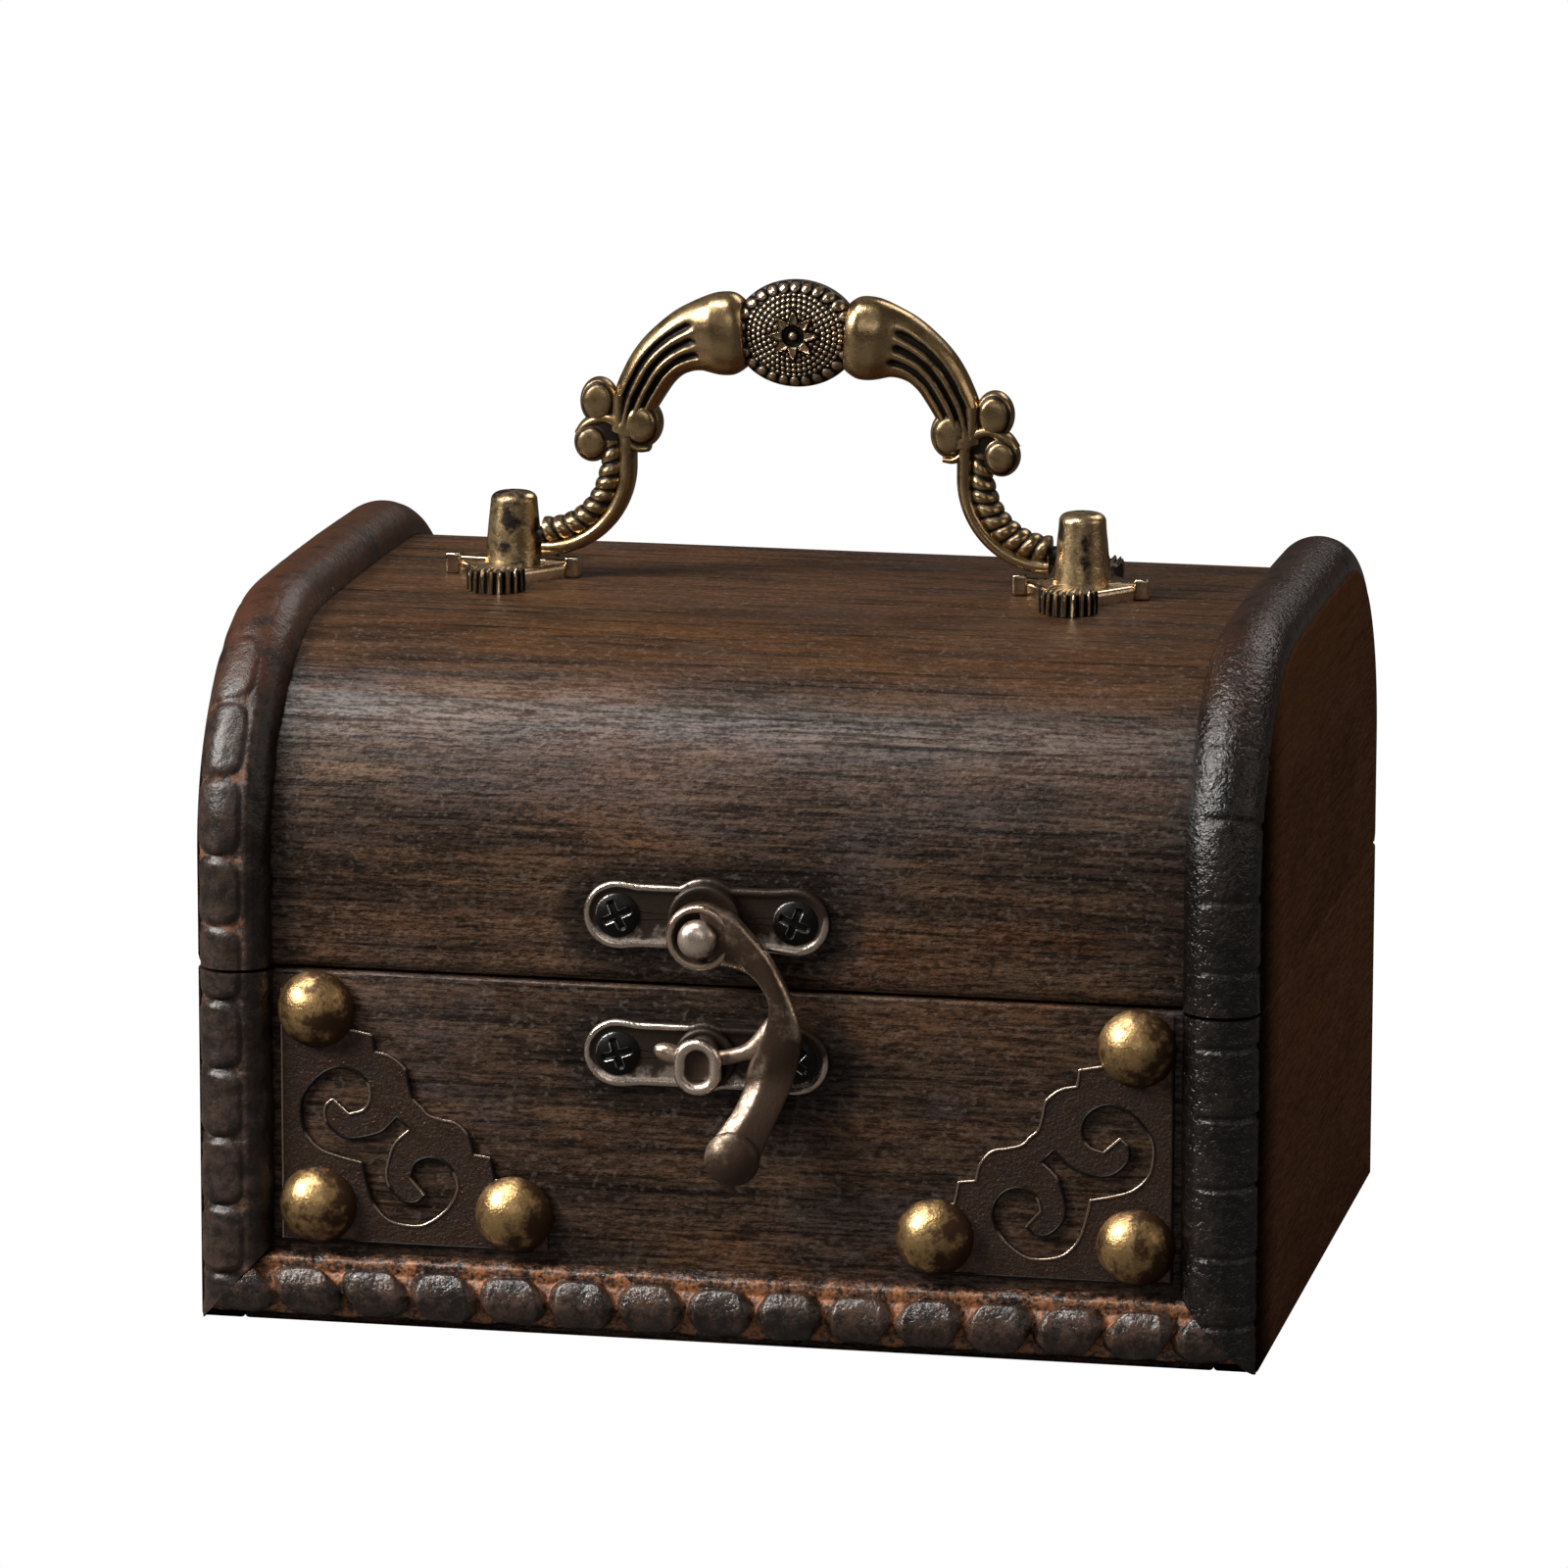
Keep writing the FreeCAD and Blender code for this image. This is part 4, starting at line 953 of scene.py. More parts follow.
def screw_head(x, height, turn):
    """A polar grid over the dome 1 - r^2.2, less a cross whose two arms are turned by an angle."""
    share = np.concatenate([(1.0,), np.linspace(1.0, 0.01, HEAD_ROWS)])[:, None]
    angle = around(112)
    near = np.minimum(np.abs(np.sin(angle - turn)), np.abs(np.cos(angle - turn))) * share
    reach = 1.0 - smooth(0.58, 0.76, share)
    recess = (1.0 - smooth(0.09, 0.2, near)) * reach
    # The lips are bright, partly wear and partly painted glints; the rim is a painted highlight on the side
    # towards the light.
    lips = np.exp(-((near - 0.17) / 0.05) ** 2) * reach * smooth(0.18, 0.3, share)
    rim = np.exp(-((share - 0.95) / 0.035) ** 2) * smooth(0.3, 0.9, np.cos(angle - LIT_FROM))
    dome = 0.25 + 0.75 * (1.0 - share ** 2.2)
    off_plate = np.minimum(np.arange(HEAD_ROWS + 1), 1)[:, None]
    proud = HEAD_HEIGHT * (dome - 0.55 * recess) * off_plate
    flat = HEAD_RADIUS * share
    grid = stack(x + flat * np.cos(angle), -HALF_Y - PLATE_FACE - proud, height + flat * np.sin(angle))
    return patch(grid, np.clip(0.1 + 0.9 * lips + 0.75 * rim, 0.0, 1.0))


for height, body, name, turns in SCREWS:
    heads = [screw_head(LATCH_X + side * SCREW_REACH, height, turn) for side, turn in zip((-1.0, 1.0), turns)]
    piece(name + "_screw_heads", heads, body, screw_worn_and_painted_glints, [name + "_screws"])

# %% [markdown]
# The keeper post holds the hook's spur. It is cut open from above, so that the spur can swing in
# and the lid can lift. A dished head stands in front of the slot, a foot behind it, and a low
# bridge joins the two. A plain block with a slot would do the work, but the real post is rounded
# everywhere. So all three are rounded rectangles whose rows are drawn in as they rise.

# %% Keeper post
HEAD_INSET = (0.35, 0.06, 0.0, 0.06, 0.25, 0.55, 0.95, 1.3, 1.5, 1.75, 2.4)
HEAD_PROUD = (4.85, 4.95, 5.2, 5.5, 5.82, 6.0, 5.9, 5.6, 5.25, 5.15, 5.1)
HEAD_WORN = (0.5, 0.8, 1.0, 1.0, 1.0, 1.0, 1.0, 0.6, 0.1, 0.0, 0.0)
BRIDGE_DROP, LEAST_CORNER = 2.1, 0.05


def rounded_slab(half, corner, height, inset, proud, relief):
    """Rings of a rounded rectangle facing forwards, each drawn in by its inset."""
    signs, outward = four_corners(10)
    inset, proud = np.array(inset)[:, None], np.array(proud)[:, None]
    reach = np.maximum(corner - inset, LEAST_CORNER)
    x = LATCH_X + signs[:, 0] * (half[0] - corner) + reach * outward[:, 0]
    z = height + signs[:, 1] * (half[1] - corner) + reach * outward[:, 1]
    return patch(stack(x, -HALF_Y - proud, z), np.array(relief)[:, None])


head = rounded_slab((2.7, 3.25), 2.65, KEEPER_Z, HEAD_INSET, HEAD_PROUD, HEAD_WORN)
stem = rounded_slab((1.7, 2.75), 1.6, KEEPER_Z, (0.0, 0.0, 0.2), (1.2, 2.5, 2.7), (0.2, 0.4, 0.5))
bridge = rounded_slab((1.7, 0.75), 0.7, KEEPER_Z - BRIDGE_DROP, (0.0, 0.0), (2.0, 5.3), (0.3, 0.3))
piece("post_head", [head, stem, bridge], "box", rubbed_copper, ["keeper_post"])

# %% [markdown]
# The hook is a cast bar that swings on the rivet. A tube along a curve would be as wide as it is
# thick. So two smooth curves give its outer and inner edges, as distances from the rivet, and every
# cross section is an oval between them. Towards the finger tab the bar bends forward, past the
# keeper post, and its front becomes a ridge.

# %% Latch hook arm
OUTER_EDGE = ((0.0, 3.8), (1.5, 3.7), (3.7, 2.7), (5.6, 0.8), (7.7, -1.7), (9.8, -5.5), (11.1, -9.0),
              (11.3, -12.0), (10.6, -15.6), (9.4, -18.9), (8.2, -21.8), (7.3, -24.4))
INNER_EDGE = ((1.2, -3.2), (3.4, -3.3), (5.6, -4.1), (7.2, -5.9), (7.9, -8.0), (7.2, -10.4), (6.0, -12.9),
              (5.3, -14.9), (4.9, -16.9), (4.1, -19.0), (2.9, -20.9), (1.5, -22.9))
ARM_FORWARD = 3.75
TAB_FORWARD = 7.1
ARM_THICK = 1.25
TAB_THIN = 0.2
BEND_RUN, RIDGE_RUN = (-14.6, -23.6), (-10.0, -17.0)
RIVET_PLACE = (LATCH_X, -HALF_Y, RIVET_Z)


def oval(count, power=0.8):
    """Unit ring of points, squarer than a circle where the power is below 1."""
    return np.stack([np.sign(part) * np.abs(part) ** power for part in circle(around(count)).T])


outer, inner = spline(OUTER_EDGE, 130), spline(INNER_EDGE, 130)
middle, half = (outer + inner) / 2.0, (outer - inner) / 2.0
bend = smooth(*BEND_RUN, middle[:, 1])
forward = ARM_FORWARD + (TAB_FORWARD - ARM_FORWARD) * bend
thick = ARM_THICK - TAB_THIN * bend
ring = oval(48, 0.72)
low = smooth(*RIDGE_RUN, middle[:, 1])[:, None]
roof = 1.0 - low * 0.55 * np.abs(ring[0] + 0.25)
flat = middle[:, None] + half[:, None] * ring[0][:, None]
front = thick[:, None] * ring[1] * roof
# The upper arm's edges are worn bright. On the lower arm the left facet is painted brighter: a painted
# highlight where the light falls on it.
rub_and_painted_light = smooth(0.7, 0.9, np.abs(ring[0]))
ridge = 0.56 + 0.3 * (1.0 - low) * rub_and_painted_light + low * (0.3 * smooth(-0.1, -0.35, ring[0]) - 0.15)
arm = patch(stack(LATCH_X + flat[..., 0], -HALF_Y - forward[:, None] - front, RIVET_Z + flat[..., 1]),
            np.clip(ridge, 0.0, 1.0))
print("hook arm", len(middle), "sections")

# %% [markdown]
# The spur is a bent rod on a circle about the rivet, so that it can slide into the keeper post as
# the hook turns. Part of a torus would be near, but the spur is thick at its root and a little
# swollen at its round tip, which a grid along the circle allows. A turned eye sits round the rivet
# and a small knob ends the arm.

# %% Latch hook spur, eye and tab
SPUR_REACH = 13.8
SPUR_HALF = 0.85
SPUR_DEPTH = 0.78
SPUR_TIP = 0.28
SPUR_ROOT = 1.6
SPUR_FROM = -46.0
SPUR_TO = -112.0
SPUR_ROWS = 64
TIP_ROWS = 8
EYE_RADII = (1.5, 3.6, 3.8, 3.8, 3.65, 3.35, 3.0, 2.65, 2.4, 1.5)
EYE_HEIGHTS = (2.56, 2.56, 2.8, 4.3, 4.75, 4.95, 4.9, 4.6, 4.4, 4.35)
EYE_WORN = (0.1, 0.1, 0.3, 0.6, 1.0, 1.0, 0.7, 0.25, 0.1, 0.1)
TAB_PLACE = (LATCH_X + 4.3, -HALF_Y, RIVET_Z - 24.05)

swing = np.radians(np.linspace(SPUR_FROM, SPUR_TO, SPUR_ROWS))[:, None]
row = np.arange(float(SPUR_ROWS))
taper = np.concatenate([np.ones(SPUR_ROWS - TIP_ROWS), np.sqrt(1.0 - np.linspace(0.0, 0.96, TIP_ROWS) ** 2)])
tip = 1.0 + SPUR_TIP * smooth(44.0, 56.0, row) + SPUR_ROOT * (1.0 - smooth(2.0, 24.0, row))
ring = oval(24, 1.0)
reach = SPUR_REACH + SPUR_HALF * (taper * tip)[:, None] * ring[0]
front = SPUR_DEPTH * (taper * np.minimum(tip, 1.0 + SPUR_TIP))[:, None] * ring[1]
spur = patch(stack(LATCH_X + reach * np.cos(swing), -HALF_Y - ARM_FORWARD - front,
                   RIVET_Z + reach * np.sin(swing)), 0.8)
eye = turned(EYE_RADII, EYE_HEIGHTS, RIVET_PLACE, FRONT, EYE_WORN)
lean = np.linspace(0.0, QUARTER - 0.05, 12)
lit = np.cos(around(FACETS) - LIT_FROM)
tab = turned(np.concatenate([(2.4, 2.95), 3.1 * np.cos(lean)]),
             np.concatenate([(6.45, 6.6), 7.3 + 1.8 * np.sin(lean)]), TAB_PLACE, FRONT,
             np.clip(0.5 + 0.4 * lit * np.linspace(1.0, 0.2, 14)[:, None], 0.0, 1.0), uneven=DENTS)
piece("swing_hook", [arm, spur, eye, tab], "hook", hook_copper, ["latch_hook"])

# %% [markdown]
# The rivet's head is a worn dome on a shank that goes through the hook's eye. It could be cast in
# one with the hook, but it stays still while the hook turns, so it is a turned piece of its own
# that rides on the lid.

# %% Rivet
rivet = turned(np.concatenate([(1.3, 1.3, 2.15), 2.25 * np.cos(lean) ** 0.8]),
               np.concatenate([(2.0, 4.9, 5.1), 5.2 + 1.5 * np.sin(lean)]), RIVET_PLACE, FRONT,
               np.concatenate([(0.2, 0.2, 0.3), np.linspace(0.5, 0.95, 12)]))
piece("rivet_head", [rivet], "lid", rubbed_copper, ["latch_rivet"])

# %% [markdown]
# ## The handle
#
# The handle is one casting that lies in a plane over the lid. It could be sculpted, but its two
# halves are alike, so tubes and buttons are built once and mirrored. Points on it are given as a
# distance from its middle and a height above its pivot. `in_plane` turns those, with a depth, into
# places on the box. A tube follows a path: each ring is an oval set across the path's direction.

# %% Handle helpers
def in_plane(side, flat, depth):
    """Distance from the handle's middle and height above the pivot, with a depth in Y."""
    return stack(HANDLE_X + side * flat[..., 0], depth, PIVOT_Z + flat[..., 1])


def tube(side, path, width, depth, ring, relief=1.0):
    """Ovals of a width in the handle's plane and a depth in Y, carried along a path."""
    across = across_path(path)
    flat = path[:, None] + across[:, None] * (width * ring[0])[..., None]
    return patch(in_plane(side, flat, depth * ring[1]), relief)


def button(centre, radii):
    """A coin with a full edge and a sunk ring: rows run from its back, over the rim, to its front."""
    lean = np.linspace(-QUARTER, QUARTER, 41)[1:-1, None]
    angle = around(56)
    share = np.cos(lean) ** 0.55
    sunk = np.exp(-((share - 0.78) / 0.07) ** 2)
    depth = radii[1] * np.sin(lean) * (1.0 - 0.14 * sunk)
    grid = stack(share * radii[0] * np.cos(angle), depth, share * radii[2] * np.sin(angle))
    return patch(np.array(centre) + grid, 0.75 - 0.35 * sunk)


print("handle pivots", 2.0 * POST_X, "mm apart")

# %% [markdown]
# Each arm leaves its post level and bends upwards. On its outer curve runs a plain round rim, which
# rolls in at the top. Beside it lies a rope. Real strands could be twisted round each other, but
# the casting shows only their outside: a tube whose radius rises and falls as a wave that winds
# round it. Above the arm sit a scroll, a petal and a curl, cast as small buttons. A flat web joins
# them, a band wraps the curl, and a pin at the foot goes into the post.

# %% Handle arm curves
BOW_RADIUS = 8.7
BOW_X = 29.4
RISE_TOP = 11.6
RISE_GAP = 0.12
RIM_OFF = 1.12
RIM_WIDE = 1.0
RIM_DEEP = 1.9
RIM_KEEP = 8
ROPE_OFF = 0.82
ROPE_WIDE = 1.34
ROPE_DEEP = 1.75
ROPE_PITCH = 1.75
ROPE_WAVE = 0.12
PIN_FROM = 29.0
PIN_TO = 31.8
PIN_RADIUS = 1.15
ROLL = ((19.6, 12.1), (20.4, 13.5), (22.2, 14.15), (24.2, 13.4), (25.3, 12.1))
WEB = ((21.5, 9.9), (21.7, 12.0), (21.6, 14.4), (21.0, 17.0))
WRAP = ((20.4, 17.0), (20.35, 14.2), (19.7, 12.0), (18.4, 10.85), (17.1, 10.8))
BUTTONS = (((23.7, 11.3), (2.15, 1.9, 2.35)), ((22.9, 16.0), (2.25, 1.7, 2.8)),
           ((17.9, 13.65), (2.4, 2.1, 2.85)))

bow = (BOW_X, BOW_RADIUS) + BOW_RADIUS * circle(np.linspace(-QUARTER, -np.pi, 90))
rise = np.stack([np.full(24, BOW_X - BOW_RADIUS), np.linspace(BOW_RADIUS + RISE_GAP, RISE_TOP, 24)], axis=-1)
path = np.vstack([bow, rise])
outward = across_path(path)
distance = np.cumsum(np.linalg.norm(np.diff(path, axis=0, prepend=path[:1]), axis=1))[:, None]
ring = oval(40, 0.95)
wave = 2.0 * np.sqrt(np.abs(np.sin(np.pi * distance / ROPE_PITCH - 0.9 * ring[0]))) - 1.0
swell = 1.0 + ROPE_WAVE * wave
slim = np.interp(distance, (0.0, 12.0, distance[-1, 0]), (1.0, 1.0, 0.72))
hug = path + outward * RIM_OFF
rim = np.vstack([hug[:-RIM_KEEP], spline((hug[-RIM_KEEP],) + ROLL, 40)])
thin = np.interp(np.arange(len(rim)), (0, len(rim) - 30, len(rim) - 1), (1.0, 1.0, 0.6))[:, None]
band_wide, band_deep = np.linspace((0.9, 2.0), (0.45, 1.5), 40).T[:, :, None]
pin = np.linspace((PIN_FROM, 0.0), (PIN_TO, 0.0), 6)
print("arm", round(float(distance[-1, 0]), 1), "mm long")

# %% Handle arms
arms = []
for side in (-1.0, 1.0):
    arms.append(tube(side, rim, RIM_WIDE * thin, RIM_DEEP * thin, ring, 0.8))
    arms.append(tube(side, path - outward * ROPE_OFF * slim, ROPE_WIDE * slim * swell,
                     ROPE_DEEP * slim * swell, ring, np.clip(0.4 + 0.42 * wave, 0.0, 1.0)))
    arms += [button(in_plane(side, np.array(place), 0.0), radii) for place, radii in BUTTONS]
    arms.append(tube(side, spline(WEB, 24), 2.2, 1.2, ring, 0.35))
    arms.append(tube(side, spline(WRAP, 40), band_wide, band_deep, ring, 0.75))
    arms.append(tube(side, pin, np.full((6, 1), PIN_RADIUS), PIN_RADIUS, oval(24, 1.0), 0.2))
piece("bail_arms", arms, "handle", handle_brass, ["handle_bail"], 60.0)

# %% [markdown]
# The arches swell from the curls to a smooth collar beside the medallion. Three flutes run along
# both faces. They could be cut by Booleans, but such cuts end bluntly. Here a flute is a narrow dip
# around one place across the oval, and a window along the path lets it start at the curl and fade
# out short of the collar.

# %% Handle arches
ARCH = ((19.6, 12.4), (18.8, 15.8), (17.6, 18.4), (16.2, 20.6), (14.4, 22.3), (11.9, 23.6), (8.8, 24.2),
        (5.9, 24.4))
ARCH_WIDTHS = (4.0, 5.2, 5.7, 6.0, 6.5, 7.8, 9.5, 9.2)
FLUTE_PLACES = (-0.42, 0.02, 0.46)
FLUTE_WIDE = 0.1
FLUTE_DEEP = 0.7
COLLAR_FROM = 0.91

path = spline(ARCH, 110)
share = np.linspace(0.0, 1.0, 110)[:, None]
width = spline(np.array(ARCH_WIDTHS)[:, None], 110)
ring = oval(128, 0.85)
window = smooth(0.02, 0.12, share) * (1.0 - smooth(0.7, 0.76, share))
dip = sum(np.exp(-((ring[0] - place) / FLUTE_WIDE) ** 2) for place in FLUTE_PLACES) * np.abs(ring[1]) ** 0.3
hollow = window * dip
end = np.clip((share - COLLAR_FROM) / (1.0 - COLLAR_FROM), 0.0, 1.0) ** 2.2
depth = 2.0 + 0.75 * share + 0.5 * smooth(0.74, 0.84, share) - 0.65 * end
half = width * 0.5 * (1.0 - 0.16 * end)
arches = [tube(side, path, half, depth - FLUTE_DEEP * hollow, ring, 0.8 - 0.95 * hollow)
          for side in (-1.0, 1.0)]
piece("bail_arches", arches, "handle", handle_brass, ["handle_bail"], 60.0)

# %% [markdown]
# The medallion is a cast disc with an eight-pointed star around a knob, a ground of small dots and
# a border of beads. Hundreds of little balls could be set on it, at a high cost in faces. In polar
# rings the whole relief is one height: every dot is the top of a little ball inside its own cell,
# and the rings are staggered like bricks.

# %% Medallion sizes
MEDAL_WIDE = 7.3
MEDAL_TALL = 6.1
MEDAL_EDGE = 0.45
MEDAL_DOME = 1.6
MEDAL_Z = extent("handle_bail")[1][2] - MEDAL_TALL
STAR_POINTS = 8.0
STAR_VALLEY = 1.65
STAR_RAY = 1.4
DOTS_FROM = 1.9
DOT_STEP = 0.62
DOT_SPACING = 0.64
BORDER_FROM = 4.7
BORDER_BEADS = 26.0


def dots(radius, angle, inner, step, number_of):
    """Tops of balls in staggered rings: radius and angle give each cell and the place in it."""
    ring_number = np.floor((radius - inner) / step)
    count = number_of(inner + step * (ring_number + 0.5))
    radial = 2.0 * ((radius - inner) / step - ring_number) - 1.0
    turn = angle * count / FULL_TURN + 0.5 * (ring_number % 2.0)
    sideways = 2.0 * (turn - np.floor(turn)) - 1.0
    return np.sqrt(np.clip(1.0 - radial ** 2 - sideways ** 2, 0.0, 1.0))


print("medallion", 2.0 * MEDAL_WIDE, "by", 2.0 * MEDAL_TALL, "mm")

# %% Medallion relief
share = np.concatenate([np.linspace(1.0, 0.01, 74), (0.004,)])[:, None]
angle = around(352)
edge = ((np.cos(angle) / MEDAL_WIDE) ** 2 + (np.sin(angle) / MEDAL_TALL) ** 2) ** -0.5
radius, even = share * edge, share * MEDAL_TALL
point = np.abs(2.0 * ((angle * STAR_POINTS / FULL_TURN) % 1.0) - 1.0)
inner = smooth(1.15, 1.35, radius)
tips = STAR_VALLEY + STAR_RAY * point ** 1.2
star = np.clip((tips - radius) / 0.3, 0.0, 1.0) * inner
crest = star * (0.55 + 0.45 * np.exp(-((tips - 0.3 - radius) / 0.25) ** 2))
knob = np.sqrt(np.clip(1.0 - (radius / 0.6) ** 2, 0.0, 1.0))
moat = smooth(0.55, 0.7, radius) * (1.0 - inner)
ground = dots(radius, angle, DOTS_FROM, DOT_STEP, lambda middle: np.round(FULL_TURN * middle / DOT_SPACING))
between = (radius > DOTS_FROM) & (even < BORDER_FROM)
ground = np.where(between, ground, 0.0) * smooth(0.05, 0.25, radius - tips)
border = dots(even, angle, BORDER_FROM, MEDAL_TALL - BORDER_FROM, lambda middle: 0.0 * middle + BORDER_BEADS)
border = np.where(even > BORDER_FROM, border, 0.0)
dome = MEDAL_DOME * (1.0 - share ** 2.8)
height = dome + 0.3 * ground + 0.7 * crest + 0.6 * knob - 0.3 * moat + 0.55 * border
raised = np.clip(0.15 + 0.75 * ground + 1.0 * crest + 0.7 * knob + 0.7 * border - 0.3 * moat, 0.0, 1.0)
print("relief up to", round(float(height.max()), 2), "mm")

# %% Medallion faces
lift = np.vstack([0.0 * height[:1], 0.0 * height[:1] + MEDAL_EDGE, MEDAL_EDGE + 0.1 + height])
rings = np.vstack([radius[:1], radius[:1], radius])
relief = np.vstack([np.full((2, len(angle)), 0.8), raised])
faces = [patch(stack(HANDLE_X + rings * np.cos(angle), side * lift, MEDAL_Z + rings * np.sin(angle)), relief)
         for side in (-1.0, 1.0)]
piece("bail_medallion", faces, "handle", relief_brass, ["handle_bail"], 75.0)

# %% [markdown]
# ## Rosettes and posts
#
# Around the foot of each post lies a cast rosette: a lozenge with ribbed shells before and behind
# it, and a bar with a square ear on each side. Its outline could be drawn point by point. In polar
# form it is shorter: the edge is the furthest of lozenge and shells in every direction, and ribs
# ripple the edge of a shell.

# %% Rosettes
LOZENGE_X = 7.0
LOZENGE_Y = 8.6
SHELL_Y = 9.0
SHELL_RADIUS = 3.3
RIBS = 20.0
RIB_OUT = 0.38
RIB_UP = 0.25
ROSETTE_SINK = 0.06
ROSETTE_INSET = np.array((0.0, 0.0, 0.12, 0.4, 0.9, 1.6, 2.6))[:, None]
ROSETTE_ROWS = np.array((0.0, 0.9, 1.35, 1.6, 1.45, 1.3, 1.5))[:, None]
ROSETTE_FADE = np.array((0.6, 1.0, 1.0, 0.9, 0.7, 0.4, 0.1))[:, None]
EAR_HALF = (0.85, 1.3)
EAR_TALL = 2.4
EAR_ROUNDING = 0.3
BAR_HALF = (6.6, 0.8)
BAR_TALL = 2.0
BAR_ROUNDING = 0.35


def rosette(x):
    """Rings drawn in from the edge, with ribs that fade towards the middle."""
    angle = around(360) + 0.001
    cosine, sine = np.cos(angle), np.sin(angle)
    lozenge = 1.0 / (np.abs(cosine) / LOZENGE_X + np.abs(sine) / LOZENGE_Y)
    under = SHELL_RADIUS ** 2 - (SHELL_Y * cosine) ** 2
    shell = np.where(under > 0.0, SHELL_Y * np.abs(sine) + np.sqrt(np.clip(under, 0.0, None)), 0.0)
    edge = np.maximum(lozenge, shell)
    turn = np.arctan2(edge * np.abs(sine) - SHELL_Y, edge * cosine)
    ribs = np.where(shell > lozenge, np.cos(RIBS * turn), 0.5) * ROSETTE_FADE
    tall = 1.0 + 0.6 * smooth(0.0, 0.8, shell - lozenge)
    radius = np.maximum(edge - ROSETTE_INSET, 1.5) + RIB_OUT * ribs
    height = ROSETTE_ROWS * tall + RIB_UP * ribs * (ROSETTE_ROWS > 0.5)
    grid = stack(x + radius * cosine, radius * sine, LID_TOP - ROSETTE_SINK + height)
    return patch(grid, np.clip(0.6 + 0.55 * ribs, 0.05, 1.0))


def block(x, half, tall, rounding):
    """A small rounded bar that stands on the lid, across the post's middle."""
    return board((x - half[0], -half[1], LID_TOP), (x + half[0], half[1], LID_TOP + tall), rounding)


for sign, name in SIDES:
    x = HANDLE_X + sign * POST_X
    ears = [block(x + end * LOZENGE_X, EAR_HALF, EAR_TALL, EAR_ROUNDING) for end in (-1.0, 1.0)]
    bar = block(x, BAR_HALF, BAR_TALL, BAR_ROUNDING)
    piece(name + "_rosette", [rosette(x), bar] + ears, "lid", relief_brass,
          [name + "_handle_rosette"], 65.0)

# %% [markdown]
# A post is a turned taper with a soft top edge, and it holds one end of the bail. A cone with a
# Bevel modifier would be near, but too clean. Here the relief number is uneven all round, which
# leaves dark stains in the brass, and the sides are dented a little.

# %% Posts
POST_FOOT = 3.5
POST_TAPER = 0.095
POST_SIDE = 8.6
POST_CAP = 8.65
POST_TOP = 9.65
POST_FACETS = 96
POST_DENTS = 0.022
POST_SEED = 61
STAIN_SEED = 71

lean = np.linspace(0.0, QUARTER - 0.04, 10)
rows = np.linspace(0.0, POST_SIDE, 24)
flare = POST_FOOT - rows * POST_TAPER + 0.15 * np.exp(-rows / 0.35)
post_r = np.concatenate([flare, 1.58 + 1.1 * np.cos(lean), (0.6,)])
post_h = np.concatenate([rows, POST_CAP + 0.95 * np.sin(lean), (POST_TOP,)])
angle = around(POST_FACETS)
for sign, name in SIDES:
    stains = rough_field(STAIN_SEED + int(sign), 6.0 * np.cos(angle), 6.0 * np.sin(angle),
                         0.6 * post_h[:, None])
    post = turned(post_r, post_h, (HANDLE_X + sign * POST_X, 0.0, LID_TOP), TOP,
                  np.clip(0.7 + 0.3 * stains, 0.0, 1.0), POST_FACETS, POST_DENTS, POST_SEED + int(sign))
    piece(name + "_post", [post], "lid", post_brass, [name + "_handle_post"])

# %% [markdown]
# ## Pieces that keep their CAD shape
#
# Hinges, their pins and screws, the handle's screws and the corner plates are right as they are.
# They could be rebuilt as grids, but nothing would be gained. They get a finish, and a narrow bevel
# so that their edges catch the light. The CAD mesh has split corners, so a Weld modifier joins them
# before the bevel.

# %% CAD pieces
KEPT = {"handle_screws": (screw_black, 0.05), "hinge_pins": (pin_steel, 0.08),
        "lower_hinge_screws": (hinge_brass, 0.04), "upper_hinge_screws": (hinge_brass, 0.04)}
for _, name in SIDES:
    KEPT[name + "_corner_plate"] = (corner_bronze, 0.16)
    KEPT[name + "_hinge_lower_leaf"] = (hinge_brass, 0.12)
    KEPT[name + "_hinge_upper_leaf"] = (hinge_brass, 0.12)
WELD_WITHIN, BEVEL_FROM = 0.002, 40.0

for name, (finish, edge) in KEPT.items():
    node = frame["nodes"][name]
    node.data.materials.clear()
    node.data.materials.append(finish)
    weld = node.modifiers.new("weld", "WELD")
    weld.merge_threshold = WELD_WITHIN / MM
    bevel = node.modifiers.new("bevel", "BEVEL")
    bevel.width = edge / MM
    bevel.segments = 2
    bevel.limit_method = "ANGLE"
    bevel.angle_limit = math.radians(BEVEL_FROM)
print(len(KEPT), "CAD nodes kept")

# %% [markdown]
# ## Studio
#
# The box stands on a plain floor among five large soft lights. A bright floor and world would also
# give a white background, but they would flood the wood with light from below. So both are white to
# the camera alone, and the metal reflects a darker room and keeps its contrast. From here on, sizes
# are in metres.

# %% Floor and world
FLOOR_HALF = 4.0
FLOOR_DROP = 0.00005
WHITE = (1.0, 1.0, 1.0, 1.0)
PAPER = (0.09, 0.085, 0.08, 1.0)
ROOM_TINT = (1.0, 0.88, 0.77, 1.0)
ROOM_STRENGTH = 0.07

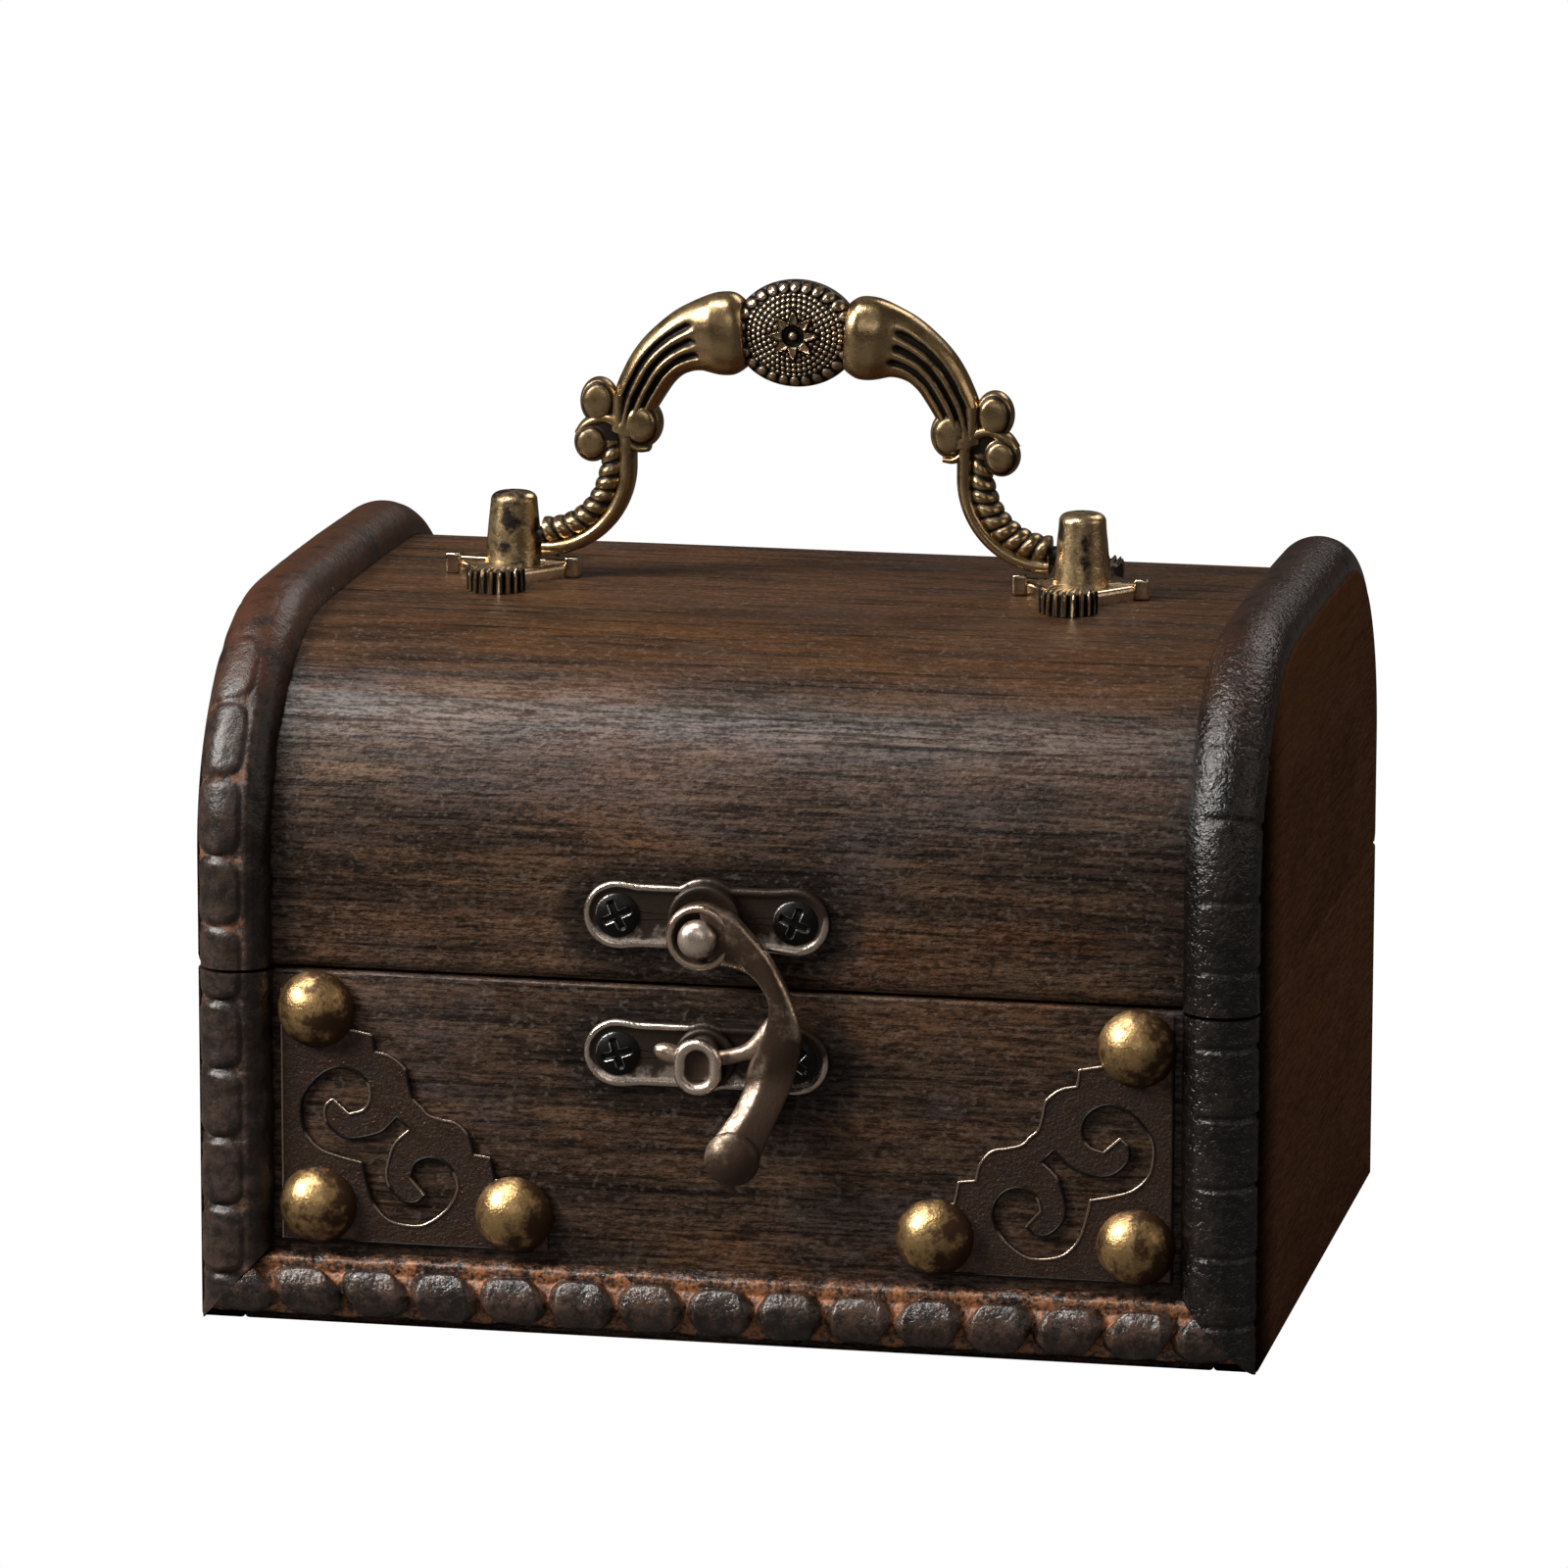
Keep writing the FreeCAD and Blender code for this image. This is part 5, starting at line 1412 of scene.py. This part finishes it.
floor_mesh = bpy.data.meshes.new("floor")
corners = [(FLOOR_HALF * x, FLOOR_HALF * y, 0.0) for x, y in ((-1, -1), (1, -1), (1, 1), (-1, 1))]
floor_mesh.from_pydata(corners, [], [(0, 1, 2, 3)])
floor = bpy.data.objects.new("floor", floor_mesh)
bpy.context.scene.collection.objects.link(floor)
floor.location.z = -FLOOR_DROP
paper, paper_shader, paper_place = material("paper", {"Base Color": PAPER, "Roughness": 0.9})
camera_ray = paper_place.node("LightPath", {}, output="Is Camera Ray")
glow = paper_place.node("Emission", {"Color": WHITE, "Strength": 1.0})
shown = Value(paper.node_tree, paper_shader.outputs[0])
white = paper_place.node("MixShader", {0: camera_ray, 1: shown, 2: glow})
paper.node_tree.links.new(white.socket, paper.node_tree.nodes["Material Output"].inputs["Surface"])
floor_mesh.materials.append(paper)

world = bpy.data.worlds.new("studio")
bpy.context.scene.world = world
world.use_nodes = True
tree = world.node_tree
room = Value(tree, tree.nodes["Background"].outputs[0])
tree.nodes["Background"].inputs["Color"].default_value = ROOM_TINT
tree.nodes["Background"].inputs["Strength"].default_value = ROOM_STRENGTH
seen = room.node("LightPath", {}, output="Is Camera Ray")
backdrop = room.node("Background", {"Color": WHITE, "Strength": 1.0})
sky = room.node("MixShader", {0: seen, 1: room, 2: backdrop})
tree.links.new(sky.socket, tree.nodes["World Output"].inputs["Surface"])
print("floor and world ready")

# %% [markdown]
# An area light shines along its own -Z axis, so each light is aimed by turning that axis from where
# it hangs towards the box. A Track To constraint would aim it as well, but two angles are enough.
# The key light is on the left and the top light above it. Weaker ones fill from the front and the
# right, and one from behind lifts the rear edges.

# %% Lights
def softbox(name, place, target, size, power, tint):
    """A rectangular area light at a place, aimed at a target by its tilt and its heading."""
    lamp = bpy.data.lights.new(name, "AREA")
    lamp.shape = "RECTANGLE"
    lamp.size, lamp.size_y = size
    lamp.energy = power
    lamp.color = tint
    made = bpy.data.objects.new(name, lamp)
    bpy.context.scene.collection.objects.link(made)
    made.location = place
    aim = np.array(target) - np.array(place)
    tilt = math.atan2(math.hypot(aim[0], aim[1]), -aim[2])
    made.rotation_euler = (tilt, 0.0, math.atan2(aim[1], aim[0]) - QUARTER)


LOW = (0.0, 0.0, 0.04)
MID = (0.0, 0.0, 0.05)
HIGH = (0.0, 0.0, 0.08)
softbox("key", (-0.44, -0.27, 0.37), MID, (0.22, 0.22), 4.9, (1.0, 0.97, 0.93))
softbox("top", (-0.25, -0.25, 0.72), HIGH, (0.3, 0.22), 3.1, (1.0, 0.98, 0.96))
softbox("front", (0.1, -1.35, 0.55), LOW, (0.7, 0.5), 1.2, (1.0, 1.0, 1.0))
softbox("right", (1.3, -0.3, 0.6), LOW, (0.9, 0.7), 2.2, (1.0, 0.9, 0.82))
softbox("back", (0.5, 0.95, 1.1), LOW, (0.8, 0.6), 5.0, (1.0, 0.97, 0.94))
print("five soft lights")

# %% [markdown]
# ## Camera
#
# The camera stands a little to the right of the box and above it, at the photograph's angle. It
# could be placed by eye. Here its position and its viewing direction are two pairs of angles that
# were fitted to the box's corners, and a tenth of a degree of roll levels the horizon.

# %% Camera
AZIMUTH = math.radians(11.203)
ELEVATION = math.radians(12.748)
DISTANCE = 1.1
AIM_HEIGHT = 0.042
TURN = AZIMUTH + math.radians(0.121)
TILT = ELEVATION - math.radians(0.626)
ROLL_ANGLE = math.radians(0.1)
SENSOR = 36.0
FOCAL_PIXELS = 9774.6
PICTURE_PIXELS = 1600.0

ground_distance = DISTANCE * math.cos(ELEVATION)
view = bpy.data.cameras.new("camera")
view.sensor_width = SENSOR
view.lens = FOCAL_PIXELS * SENSOR / PICTURE_PIXELS
camera = bpy.data.objects.new("camera", view)
bpy.context.scene.collection.objects.link(camera)
camera.location = (ground_distance * math.sin(AZIMUTH), -ground_distance * math.cos(AZIMUTH),
                   DISTANCE * math.sin(ELEVATION) + AIM_HEIGHT)
camera.rotation_mode = "XYZ"
camera.rotation_euler = (QUARTER - TILT, 0.0, TURN)
camera.rotation_euler.rotate_axis("Z", ROLL_ANGLE)
bpy.context.scene.camera = camera
bpy.context.scene.view_settings.view_transform = "Standard"
